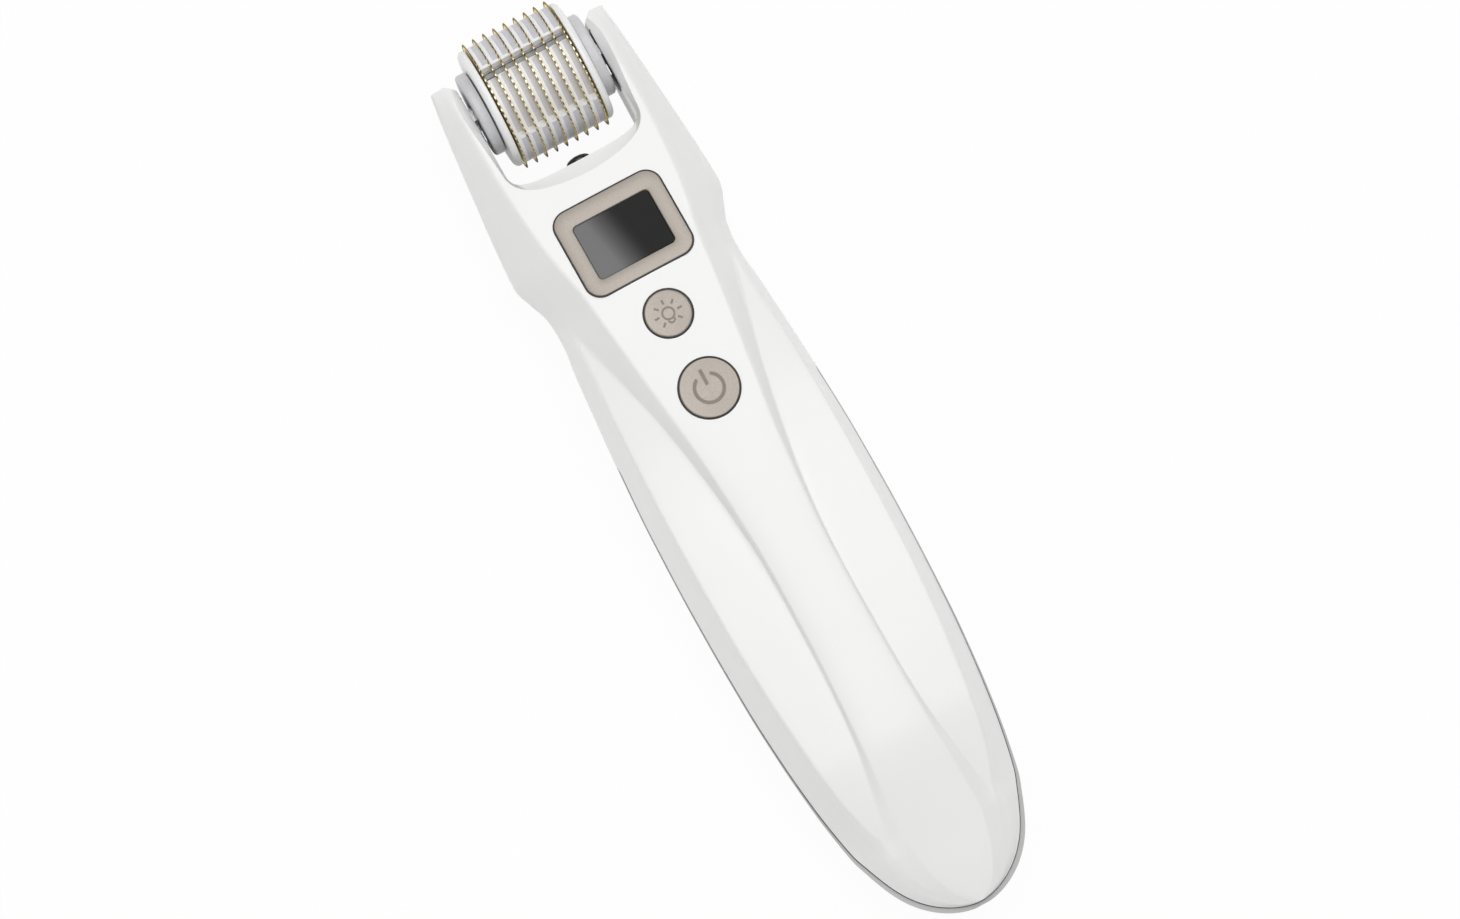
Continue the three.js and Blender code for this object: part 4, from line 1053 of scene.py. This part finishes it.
def parting_gap_shade():
    """A thin dark bead of painted shade where the front shell's edge meets the rear shell's rim,
    round the tail.
    """
    first, last = RIM_WIDTH + TAIL_FLAT, distance_of(RIM[-2][0])
    side = []
    for i in range(SEAM_SHADE_STEPS + 1):
        distance = first + (last - first) * (i / SEAM_SHADE_STEPS) ** 3
        side.append(Vector((front_half_width(distance), TAIL_Y + distance)))
    path = side[::-1] + [Vector((-p.x, p.y)) for p in side]
    rings = []
    for i, p in enumerate(path):
        along = path[min(i + 1, len(path) - 1)] - path[max(i - 1, 0)]
        out = Vector((-along.y, along.x)).normalized()
        proud = SEAM_SHADE_PROUD * (1 - SEAM_SHADE_THINNING * ease(p.y - TAIL_Y, *SEAM_SHADE_THINNING_ENDS))
        bead = (
            (-SEAM_SHADE_BURIED, -SEAM_SHADE_HALF_HEIGHT), (proud, -SEAM_SHADE_HALF_HEIGHT), (proud, SEAM_SHADE_EDGE),
            (SEAM_SHADE_EDGE, SEAM_SHADE_HALF_HEIGHT), (-SEAM_SHADE_BURIED, SEAM_SHADE_HALF_HEIGHT),
        )
        rings.append([Vector((*(p + out * reach), PARTING_Z + z)) for reach, z in bead])
    dressed(loft("parting_gap_shade", rings), gap_shade_rubber, "handle", "black_plastic")


front_shell()
rear_shell()
parting_gap_shade()


# The roller

# One tooth of a disc: how far in from its tip, how far round in shares of the pitch, how thick
TOOTH = (
    (1.2, -0.5, 1), (1.15, -0.3, 1), (0.4, -0.13, 0.9), (0, 0, 0.4), (0.4, 0.13, 0.9),
    (1.15, 0.3, 1),
)
PLATE_BELOW_TEETH = 0.6
CORE_SEAT_RADIUS = CORE_RADIUS + FIT_GAP
BLOCK_GAP_ANGLE = 360 / BLOCK_COUNT - BLOCK_ANGLE
# The spacers' play between the discs, and the ring's height over the solid's
SPACER_PLAY = 0.03
RING_RISE = 0.2
# A band of painted shade starts this far along its spacer, ends this many degrees inside its block
# and is proud
SHADE_BAND_START = 0.75
SHADE_BAND_INSET = 3
SHADE_BAND_PROUD = 0.04
# An inlay of painted shade lies between the blocks, this many degrees short of the next one
SHADE_INLAY_SHORT = 10
SHADE_INLAY_DEPTH = 0.2
SHADE_INLAY_PROUD = 0.03
OVERLAP = 0.01
# The drum's grey strips of painted shade and their black lines of painted shade: from where to
# where before a block, in degrees, how much they rise, and how far they reach along the drum
SHADE_STRIP_RISE = 0.3
SHADE_STRIP_REACH = DISCS_HALF_WIDTH - DISC_PLATE
SHADE_STRIP_PARTS = (
    ("painted_shade_strips", shade_strip_pc, (-9, 0), 0, (-SHADE_STRIP_REACH, SHADE_STRIP_REACH)),
    ("painted_shade_lines", black_abs, (-3.8, -3), 0.02, (-SHADE_STRIP_REACH, SHADE_STRIP_REACH)),
    ("painted_shade_line_ends", black_abs, (-9.8, -9), 0.02, (-SHADE_STRIP_REACH, DISC_PITCH - SHADE_STRIP_REACH)),
)
# How far a socket's plate is larger than its radius in the part, so that it fills its seat
SOCKET_FILL = 0.24
# The core's rounding, and the flanges' and hubs' (chamfer, rounding)
CORE_ROUNDING = 0.3
FLANGE_EDGE = (0.6, 0.25)
HUB_EDGE = (0.4, 0.2)


def on_axle(side=1):
    """Z becomes the axle's own direction, outwards on a side, and X becomes up."""
    return Matrix(((0, 0, side, 0), (0, 1, 0, AXLE_Y), (1, 0, 0, AXLE_Z), (0, 0, 0, 1)))


def on_drum(radius, angle, x):
    """A point of the drum: its angle runs from the display side towards the head."""
    turn = math.radians(angle)
    return Vector((x, AXLE_Y + radius * math.sin(turn), AXLE_Z + radius * math.cos(turn)))


def needle_disc(i):
    """A stamped disc with sixty pointed teeth, thinned towards their points."""
    x = (i - 1) * DISC_PITCH - DISCS_HALF_WIDTH
    half = DISC_PLATE / 2
    edge = []
    for k in range(TOOTH_COUNT):
        for inwards, turn, thick in TOOTH:
            edge.append((TOOTH_RADIUS - inwards, (k + turn) * 360 / TOOTH_COUNT, thick))
    rings = []
    for side in (-1, 1):
        face = x + side * half
        inner = [on_drum(CORE_SEAT_RADIUS, angle, face) for _, angle, _ in edge]
        root = TOOTH_ROOT_RADIUS - PLATE_BELOW_TEETH
        body = [on_drum(root, angle, face) for _, angle, _ in edge]
        outer = [on_drum(radius, angle, x + side * half * thick) for radius, angle, thick in edge]
        rings += [inner, body, outer] if side < 0 else [outer, body, inner]
    disc = loft("needle_disc_%d_plate" % i, rings, DRUM_SMOOTH, closed=True)
    dressed(disc, gold, "drum", "gold", "needle_disc_%d" % i)


def block_middles():
    """The angles of the blocks' middles."""
    return [BLOCK_TURN + 360 * k / BLOCK_COUNT for k in range(BLOCK_COUNT)]


def block_spans(inset):
    """The three blocks' angles, drawn in at both ends."""
    half = BLOCK_ANGLE / 2 - inset
    return [(turn - half, turn + half) for turn in block_middles()]


def block_ring(name, block_radius, ring_radius, start, end):
    """A ring with three raised blocks, from start to end along the axle."""
    outline = []
    steps = 20
    for middle in block_middles():
        for radius, centre, spread in (
            (block_radius, middle, BLOCK_ANGLE),
            (ring_radius, middle + 180 / BLOCK_COUNT, BLOCK_GAP_ANGLE),
        ):
            for k in range(steps + 1):
                outline.append((radius, centre + spread * (k / steps - 0.5)))
    edge = 0.1
    rings = [[on_drum(CORE_SEAT_RADIUS, angle, start) for _, angle in outline]]
    for x, drop in ((start, edge), (start + edge, 0), (end - edge, 0), (end, edge)):
        rings.append([on_drum(radius - drop, angle, x) for radius, angle in outline])
    rings.append([on_drum(CORE_SEAT_RADIUS, angle, end) for _, angle in outline])
    return loft(name, rings, DRUM_SMOOTH, closed=True)


def arc_bars(name, spans, low, high, from_x, to_x, steps=14):
    """Curved bars on the drum, one for each (start, end) angle, between two radii."""
    section = ((low, from_x), (high, from_x), (high, to_x), (low, to_x))
    points, faces = [], []
    for start, end in spans:
        base = len(points)
        for k in range(steps + 1):
            angle = start + (end - start) * k / steps
            points += [on_drum(radius, angle, x) for radius, x in section]
        for k in range(steps):
            for side in range(4):
                a, b = base + 4 * k + side, base + 4 * k + (side + 1) % 4
                faces.append((a, b, b + 4, a + 4))
        far = base + 4 * steps
        faces += [tuple(range(base, base + 4)), tuple(range(far, far + 4))[::-1]]
    return piece(name, points, faces, DRUM_SMOOTH)


def spacer(i):
    """A white ring between two discs, with three blocks, and pale grey bands of painted shade let
    into it.
    """
    x = (i - 0.5) * DISC_PITCH - DISCS_HALF_WIDTH
    half = (DISC_PITCH - DISC_PLATE) / 2 - SPACER_PLAY
    ring_radius = SPACER_RING_RADIUS + RING_RISE
    name = "spacer_%d" % i
    ring = block_ring(name + "_ring", BLOCK_RADIUS - SHADE_BAND_PROUD, ring_radius, x - half, x + half)
    dressed(ring, spacer_pc, "drum", "white_gloss", name)
    gaps = [(end, end + BLOCK_GAP_ANGLE - SHADE_INLAY_SHORT) for _, end in block_spans(0)]
    for part, spans, low, high in (
        ("_painted_shade_band", block_spans(SHADE_BAND_INSET), ring_radius, BLOCK_RADIUS),
        ("_painted_shade_inlay", gaps, ring_radius - SHADE_INLAY_DEPTH, ring_radius + SHADE_INLAY_PROUD),
    ):
        bars = arc_bars(name + part, spans, low, high, x - half + SHADE_BAND_START, x + half + OVERLAP)
        dressed(bars, shade_grey_pc, "drum", "white_gloss")


def end_plate(name, side, radius, inner, outer, chamfer, rounding):
    """A round plate on the axle, its outer edge chamfered."""
    return turned(name, rounded([
        (AXLE_BORE, inner), (radius, inner), (radius, outer - chamfer), (radius - chamfer, outer),
        (AXLE_BORE, outer),
    ], rounding), on_axle(side), PLATE_ROUND)


for i in range(1, DISC_COUNT + 1):
    needle_disc(i)
for i in range(1, DISC_COUNT):
    spacer(i)

shade_strip_top = SPACER_RING_RADIUS + SHADE_STRIP_RISE
for name, material, spread, rise, ends in SHADE_STRIP_PARTS:
    spans = [(start + spread[0], start + spread[1]) for start, _ in block_spans(0)]
    shade_strips = arc_bars(name, spans, shade_strip_top - SHADE_STRIP_RISE, shade_strip_top + rise, *ends, 4)
    dressed(shade_strips, material, "drum", "black_plastic")

core_end = FLANGE_INNER - FIT_GAP
core = turned("drum_core_tube", rounded([
    (CORE_BORE_RADIUS, -core_end), (CORE_RADIUS, -core_end),
    (CORE_RADIUS, core_end), (CORE_BORE_RADIUS, core_end),
], CORE_ROUNDING), on_axle())
dressed(core, pearl, "drum", "pearl", "drum_core")

for side_name, side in SIDES:
    flange = end_plate("drum_flange_%s_disc" % side_name, side, FLANGE_RADIUS, FLANGE_INNER,
                       FLANGE_OUTER, *FLANGE_EDGE)
    dressed(flange, white_pc, "drum", "white_gloss", "drum_flange_" + side_name)
    hub = end_plate("drum_hub_%s_cap" % side_name, side, HUB_RADIUS, HUB_INNER, HUB_OUTER,
                    *HUB_EDGE)
    dressed(hub, grey_pc, "handle", "satin_grey", "drum_hub_" + side_name)
    socket = socket_piece("drum_socket_%s_plate" % side_name, side, SOCKET_RADIUS + SOCKET_FILL,
                          SOCKET_THICKNESS, 0)
    combine(socket, bar(AXLE_BORE, (-WIDE / 2, AXLE_Y, AXLE_Z), (WIDE / 2, AXLE_Y, AXLE_Z)))
    shade(socket, DRUM_SMOOTH)
    dressed(socket, black_abs, "handle", "black_plastic", "drum_socket_" + side_name)


# The display

# The dark ring of painted shade in the gap round the display: its outer and inner edges, and how
# deep it lies
GAP_SHADE_EDGES = (0.28, 0.02)
GAP_SHADE_TOP = -0.1
GAP_SHADE_LIFT = 0.05
GAP_SHADE_ROUND = 0.04
WINDOW_PLAY = 0.05
WINDOW_CHAMFER = 0.12
FRAME_EDGE = 0.25
# How a frame's edge bends: the middle of the bend, as a share of the edge
EDGE_BEND = 0.3
LEAST_CORNER = 0.05


def ring_piece(name, outer, inner, rise, low, place, edge=FRAME_EDGE):
    """A frame between two rounded rectangles of (width, length, corner, middle), edges rounded."""
    rings = []
    bent = edge * EDGE_BEND
    for size, shrink, z in (
        (outer, 0, low), (outer, 0, rise - edge), (outer, bent, rise - bent),
        (outer, edge, rise), (inner, -edge, rise), (inner, -bent, rise - bent),
        (inner, 0, rise - edge), (inner, 0, low),
    ):
        width, length, corner, middle = size
        outline = rounded_rectangle(width - 2 * shrink, length - 2 * shrink,
                                    max(corner - shrink, LEAST_CORNER), middle)
        rings.append([place @ Vector((*p, z)) for p in outline])
    return loft(name, rings, TURNED_SMOOTH, closed=True)


def display_size(grown):
    """The display frame's outline, or a larger one round it."""
    width, length = (v + 2 * grown for v in DISPLAY_SIZE)
    return width, length, DISPLAY_CORNER + grown, 0


window_hole = (WINDOW_SIZE[0] + 2 * WINDOW_PLAY, WINDOW_SIZE[1] + 2 * WINDOW_PLAY,
               WINDOW_CORNER + WINDOW_PLAY, -WINDOW_DROP)
bezel = ring_piece("display_bezel_frame", display_size(0), window_hole, FIT_GAP / 2,
                   FIT_GAP - DISPLAY_POCKET, display_place)
dressed(bezel, champagne, "handle", "champagne", "display_bezel")
gap_shade_ring = ring_piece("display_gap_shade", *[display_size(v) for v in GAP_SHADE_EDGES], GAP_SHADE_TOP,
                    GAP_SHADE_LIFT - DISPLAY_POCKET, display_place, GAP_SHADE_ROUND)
dressed(gap_shade_ring, gap_shade_rubber, "handle", "black_plastic")
window = loft("display_window_pane", [
    [display_place @ Vector((*p, z - WINDOW_SINK)) for p in window_outline(-shrink)]
    for shrink, z in ((0, -WINDOW_THICKNESS), (0, -WINDOW_CHAMFER), (WINDOW_CHAMFER, 0))
], TURNED_SMOOTH)
dressed(window, smoked_window, "handle", "dark_window", "display_window")


# The buttons

# A cap's edge, as how far in and how far down, and the rings of its dished face, as shares
CAP_EDGE = ((0, 0.4), (0.03, 0.2), (0.1, 0.07), (0.22, 0.01))
DISH_SHARES = (0.93, 0.85, 0.75, 0.62, 0.48, 0.34, 0.2, 0.08, 0.01)
# The dark ring of painted shade in a button's gap: its play beside the cap and the shell, and its
# depths
CAP_SHADE_PLAY = (0.05, 0.02)
CAP_SHADE_DEPTHS = (0.12, 1.1)
# The icons: line widths, arcs as (radius, from, to), rays as (from, to), in mm and degrees
ICON_PROUD = 0.025
ICON_DEPTH = 0.3
POWER_LINE = 0.7
POWER_ARC = (2.8, 119, 421)
POWER_BAR = (0.7, 3.9)
BULB_LINE = 0.38
BULB_ARC = (1.15, -90, 264)
BULB_FOOT_LINE = 0.36
BULB_FOOT_ARC = (0.62, 175, 365)
BULB_FOOT_MIDDLE = (0, -1.3)
RAY_LINE = 0.42
RAY_REACH = (1.9, 2.85)
RAY_ANGLES = (90, 45, 135, 0, 180, -45, 225)


def dish(radius, r):
    """Height of a button's dished face over the ridge, at a distance from its middle."""
    return BUTTON_PROUD - BUTTON_DISH * max(1 - (r / radius) ** 2, 0) - CAP_EDGE[-1][1]


def button(name, radius, y):
    """A dished cap that follows the ridge, with its collar and stem below, and a dark ring of
    painted shade in its gap.
    """
    place = top_place(y - TAIL_Y)
    slope = place.to_3x3() @ Vector((0, 1, 0))
    reach, top = button_seat(radius, y)

    def ring(r, height, tilted=True):
        """A circle round the button's middle, level or along the ridge's slope."""
        made = []
        for a in around(CAP_ROUND):
            x, along = r * math.cos(a), r * math.sin(a)
            z = place.translation.z + height + along * slope.z / slope.y if tilted else height
            made.append(Vector((x, y + along, z)))
        return made

    rings = [ring(radius, top - BUTTON_COLLAR, False)]
    rings += [ring(radius - inwards, BUTTON_PROUD - drop) for inwards, drop in CAP_EDGE]
    rings += [ring(radius * share, dish(radius, radius * share)) for share in DISH_SHARES]
    cap = loft(name + "_button_cap", rings)
    collar = upright(reach, 0, y, top - BUTTON_COLLAR, top, CAP_ROUND)
    combine(collar, block((radius * 2, WIDE, WIDE), (0, y, top)), "INTERSECT")
    combine(cap, collar, "UNION")
    stem_bottom = PARTING_Z + SWITCH_TOP + FIT_GAP
    stem = upright(BUTTON_STEM_RADIUS, 0, y, stem_bottom, top - BUTTON_COLLAR / 2)
    combine(cap, stem, "UNION")
    shade(cap, PLAIN_SMOOTH)
    dressed(cap, spun_champagne, name + "_button", "champagne", name + "_button")
    inner, outer = radius + CAP_SHADE_PLAY[0], radius + BUTTON_GAP - CAP_SHADE_PLAY[1]
    high, low = (-depth for depth in CAP_SHADE_DEPTHS)
    cap_gap_shade = turned(name + "_button_gap_shade", [
        (inner, low), (outer, low), (outer, high), (inner, high),
    ], place, CAP_ROUND)
    dressed(cap_gap_shade, gap_shade_rubber, "handle", "black_plastic")
    return place


def stroke(name, line, width, place, radius, closed=False):
    """A line of an icon, a hair proud of a button's dished face."""
    half = width / 2
    count = len(line)
    rings = []
    for i, p in enumerate(line):
        if closed:
            before, after = line[i - 1], line[(i + 1) % count]
        else:
            before, after = line[max(i - 1, 0)], line[min(i + 1, count - 1)]
        along = (after - before).normalized()
        normal = Vector((-along.y, along.x))
        a, b = p + normal * half, p - normal * half
        tops = [dish(radius, side.length) + ICON_PROUD for side in (a, b)]
        section = ((a, tops[0] - ICON_DEPTH), (b, tops[1] - ICON_DEPTH), (b, tops[1]), (a, tops[0]))
        rings.append([place @ Vector((*side, z)) for side, z in section])
    return loft(name, rings, closed=closed)


def arc(radius, start, end, centre=(0, 0), steps=48):
    """Points of an arc between two angles."""
    made = []
    for i in range(steps + 1):
        angle = math.radians(start + (end - start) * i / steps)
        made.append(Vector((centre[0] + radius * math.cos(angle),
                            centre[1] + radius * math.sin(angle))))
    return made


def ray(angle, start, end):
    """Points of a straight line outwards, between two distances."""
    steps = 6
    direction = Vector((math.cos(math.radians(angle)), math.sin(math.radians(angle))))
    return [direction * (start + (end - start) * i / steps) for i in range(steps + 1)]


light_place = button(*BUTTONS[0])
power_place = button(*BUTTONS[1])
on_power, on_light = (power_place, POWER_BUTTON_RADIUS), (light_place, LIGHT_BUTTON_RADIUS)
power_icon = joined("power_icon", [
    stroke("power_icon", arc(*POWER_ARC), POWER_LINE, *on_power),
    stroke("tool", ray(90, *POWER_BAR), POWER_LINE, *on_power),
])
dressed(power_icon, etched, "power_button", "champagne")
light_icon = joined("light_icon", [
    stroke("light_icon", arc(*BULB_ARC)[:-1], BULB_LINE, *on_light, True),
    stroke("tool", arc(*BULB_FOOT_ARC, BULB_FOOT_MIDDLE, 24), BULB_FOOT_LINE, *on_light),
    *[stroke("tool", ray(angle, *RAY_REACH), RAY_LINE, *on_light) for angle in RAY_ANGLES],
])
dressed(light_icon, etched, "light_button", "champagne")


# The lamp lens, the charging socket and the screws

LENS_STEPS = 12
# The sleeve's chamfers, and its tongue: how thick, how round, how far back, and its slim end
SLEEVE_CHAMFER = 0.12
SLEEVE_LIP = 0.1
TONGUE_THICKNESS = 1
TONGUE_CORNER = 0.15
TONGUE_BACK = 1.2
TONGUE_CHAMFER = 0.2
TONGUE_TAPER = 0.3
TONGUE_END_CORNER = 0.1
# The contacts: how many on a side, their pitch, width and height, and how much they fall short
CONTACT_COUNT = 6
CONTACT_PITCH = 0.62
CONTACT_SIZE = (0.3, 0.08)
CONTACT_SHORT = 0.8
# A screw's domed head as (share of its radius, height), its thread, tip and cross recess
SCREW_DOME = ((0.55, 0.06), (0.8, 0.25), (0.95, 0.6), (1, 1))
THREAD_TURNS = 10
THREAD_PITCH = 0.9
THREAD_START = 0.8
THREAD_ROOT = 0.8
THREAD_CREST = (0.4, 0.5)
SCREW_TIP = 0.4
RECESS = (2.6, 0.55, 1.8)


def lamp_lens():
    """A round lens in the wall behind the drum, with a bulging face."""
    shoulder = HEAD_WALL + LENS_PROUD - LENS_BULGE
    profile = [(MIDDLE, 0), (LENS_RADIUS, 0), (LENS_RADIUS, shoulder)]
    for i in range(1, LENS_STEPS + 1):
        angle = math.pi / 2 * i / LENS_STEPS
        out = max(LENS_RADIUS * math.cos(angle), MIDDLE)
        profile.append((out, shoulder + LENS_BULGE * math.sin(angle)))
    place = Matrix.Translation((0, CAVITY_HEAD_Y, PARTING_Z + LENS_RISE))
    place @= Matrix.Rotation(-math.pi / 2, 4, "X")
    lens = turned("lamp_lens_dome", profile, place, LENS_ROUND)
    dressed(lens, smoked_pc, "handle", "dark_window", "lamp_lens")


def charging_socket():
    """A drawn steel sleeve with a closed back, and the tongue that carries its contacts."""
    back = -CHARGER_SIZE[2]
    root = back + CHARGER_WALL

    def lofted(name, rings, smooth):
        """A skin through (outline, depth) rings, in the socket's place."""
        return loft(name, [
            [charger_place @ Vector((*p, z)) for p in outline] for outline, z in rings
        ], smooth)

    outer, inner = charger_outline(0), charger_outline(-CHARGER_WALL)
    sleeve = lofted("charging_socket_sleeve", (
        (outer, back), (outer, -SLEEVE_CHAMFER), (charger_outline(-SLEEVE_LIP), 0),
        (charger_outline(SLEEVE_LIP - CHARGER_WALL), 0), (inner, -SLEEVE_CHAMFER), (inner, root),
    ), TURNED_SMOOTH)
    dressed(sleeve, bright_steel, "handle", "steel", "charging_socket")
    width, tip = CHARGER_SIZE[0] / 2, -TONGUE_BACK
    board = rounded_rectangle(width, TONGUE_THICKNESS, TONGUE_CORNER)
    board_end = rounded_rectangle(width - TONGUE_TAPER, TONGUE_THICKNESS - TONGUE_TAPER,
                                  TONGUE_END_CORNER)
    tongue = lofted("charging_socket_tongue", (
        (board, root), (board, tip - TONGUE_CHAMFER), (board_end, tip),
    ), PLAIN_SMOOTH)
    dressed(tongue, black_abs, "handle", "black_plastic")
    contacts = []
    for i in range(CONTACT_COUNT):
        for _, side in SIDES:
            x = (i - (CONTACT_COUNT - 1) / 2) * CONTACT_PITCH
            place = charger_place @ Matrix.Translation((x, side * TONGUE_THICKNESS / 2, 0))
            size = (*CONTACT_SIZE, tip - root - CONTACT_SHORT)
            contacts.append(block(size, (0, 0, (root + tip) / 2), place))
    contacts = joined("charging_socket_contacts", contacts)
    dressed(contacts, gold_contact, "handle", "steel")


def screw(name, x, y):
    """A pan-head screw with a cross recess, its head towards the belly."""
    low = PARTING_Z - SCREW_SEAT_DROP - FIT_GAP - SCREW_HEAD_HEIGHT
    tip = SCREW_HEAD_HEIGHT + SCREW_LENGTH
    root = SCREW_RADIUS * THREAD_ROOT
    profile = [(MIDDLE, 0), *[(SCREW_HEAD_RADIUS * share, z) for share, z in SCREW_DOME],
               (SCREW_HEAD_RADIUS, SCREW_HEAD_HEIGHT), (SCREW_RADIUS, SCREW_HEAD_HEIGHT)]
    for i in range(THREAD_TURNS):
        start = SCREW_HEAD_HEIGHT + THREAD_START + i * THREAD_PITCH
        profile.append((root, start))
        profile += [(SCREW_RADIUS, start + THREAD_PITCH * share) for share in THREAD_CREST]
    profile += [(root, tip - SCREW_TIP), (SCREW_RADIUS * SCREW_TIP, tip), (MIDDLE, tip)]
    made = turned(name + "_shaft", profile, Matrix.Translation((x, y, low)), SMALL_ROUND)
    length, width, depth = RECESS
    for size in ((length, width, depth), (width, length, depth)):
        combine(made, block(size, (x, y, low)))
    shade(made, TURNED_SMOOTH)
    dressed(made, bright_steel, "handle", "steel", name)


lamp_lens()
charging_socket()
for name, x, y in SCREWS:
    screw(name, x, y)

# Nodes of the part that keep their solids, with finishes of their own
for material, names in (
    (black_abs, ("display_screen", "light_plunger", "power_plunger", "light_switch",
                 "power_switch")),
    (bright_steel, ("contact_spring_left", "contact_spring_right", "drum_axle",
                    "vibration_motor", "motor_weight")),
    (solder_mask, ("drum_lamp_strip", "circuit_board", "lamp_board")),
    (shrink_film, ("battery",)),
):
    for name in names:
        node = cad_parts[name]
        node.data.materials.clear()
        node.data.materials.append(material)


# Camera, floor and light, in metres

CAMERA_AT = Vector((-91.07, -119.48, 1213.5)) * MM
CAMERA_AIM = Vector((-1.685, 1.391, 13.5)) * MM
CAMERA_ROLL = math.radians(-28.70)
CAMERA_LENS = 156.95
CAMERA_SENSOR = 36
CAMERA_CLIP = (0.05, 20)
FLOOR_REACH = 4
PAPER = "#fbfbfb"
PAPER_ROUGHNESS = 0.9
PAPER_SPECULAR = 0.1
# How much of the floor's look is its own white, to the camera and in reflections
PAPER_GLOW = 0.95
WORLD_LIGHT = 0.25
# A light that stands further to one side than this, as a share, lies along the device
SIDEWAYS = 0.7
# Where each light stands, its width and height, and its watts
SOFTBOXES = (
    ("overhead_softbox", (0.15, 0.2, 1.42), (1.3, 1.7), 12.2),
    ("right_softbox", (0.8, 0.35, 1.15), (1, 1.3), 1.8),
    ("low_left_softbox", (-1.3, -0.3, 0.6), (1.4, 1), 3.2),
    ("tail_softbox", (0.4, -1.4, 0.9), (1.2, 1.2), 3),
    ("head_softbox", (-0.1, 1.2, 0.9), (1.2, 1.2), 3),
)

scene = bpy.context.scene
forward = (CAMERA_AIM - CAMERA_AT).normalized()
right = forward.cross(Vector((0, 1, 0))).normalized()
up = right.cross(forward)
camera_right = right * math.cos(CAMERA_ROLL) + up * math.sin(CAMERA_ROLL)
camera_up = up * math.cos(CAMERA_ROLL) - right * math.sin(CAMERA_ROLL)
camera_data = bpy.data.cameras.new("camera")
camera_data.lens = CAMERA_LENS
camera_data.sensor_width = CAMERA_SENSOR
camera_data.sensor_fit = "HORIZONTAL"
camera_data.clip_start, camera_data.clip_end = CAMERA_CLIP
camera = bpy.data.objects.new("camera", camera_data)
scene.collection.objects.link(camera)
turn = Matrix((camera_right, camera_up, -forward)).transposed().to_4x4()
camera.matrix_world = Matrix.Translation(CAMERA_AT) @ turn
scene.camera = camera

floor_mesh = bpy.data.meshes.new("floor")
floor_mesh.from_pydata([
    (x * FLOOR_REACH, y * FLOOR_REACH, 0) for x, y in ((-1, -1), (1, -1), (1, 1), (-1, 1))
], [], [(0, 1, 2, 3)])
floor = bpy.data.objects.new("floor", floor_mesh)
scene.collection.objects.link(floor)
paper = bpy.data.materials.new("white paper backdrop")
paper.use_nodes = True
tree = paper.node_tree
shader = tree.nodes["Principled BSDF"]
shader.inputs["Base Color"].default_value = colour(PAPER)
shader.inputs["Roughness"].default_value = PAPER_ROUGHNESS
shader.inputs["Specular IOR Level"].default_value = PAPER_SPECULAR
glow = add(tree, "ShaderNodeEmission", {"Color": (1, 1, 1, 1), "Strength": 1.0})
path = add(tree, "ShaderNodeLightPath")
seen = add(tree, "ShaderNodeMath", {
    0: path.outputs["Is Camera Ray"], 1: path.outputs["Is Glossy Ray"],
}, operation="MAXIMUM")
share = add(tree, "ShaderNodeMath", {0: seen.outputs["Value"], 1: PAPER_GLOW},
            operation="MULTIPLY")
mix = add(tree, "ShaderNodeMixShader", {
    0: share.outputs["Value"], 1: shader.outputs["BSDF"], 2: glow.outputs["Emission"],
})
tree.links.new(mix.outputs["Shader"], tree.nodes["Material Output"].inputs["Surface"])
floor_mesh.materials.append(paper)

world = bpy.data.worlds.new("studio")
scene.world = world
world.use_nodes = True
background = world.node_tree.nodes["Background"]
background.inputs["Color"].default_value = (1, 1, 1, 1)
background.inputs["Strength"].default_value = WORLD_LIGHT


def softbox(name, at, size, power):
    """A rectangular light that shines at the device, its width level with the floor."""
    light = bpy.data.lights.new(name, "AREA")
    light.shape = "RECTANGLE"
    light.size, light.size_y = size
    light.energy = power
    thing = bpy.data.objects.new(name, light)
    scene.collection.objects.link(thing)
    back = Vector(at).normalized()
    across = Vector((1, 0, 0)) if abs(back.x) < SIDEWAYS else Vector((0, 1, 0))
    along = back.cross(across).normalized()
    turn = Matrix((along.cross(back), along, back)).transposed().to_4x4()
    thing.matrix_world = Matrix.Translation(at) @ turn
    thing.visible_camera = False


for box in SOFTBOXES:
    softbox(*box)

scene.view_settings.view_transform = "Standard"
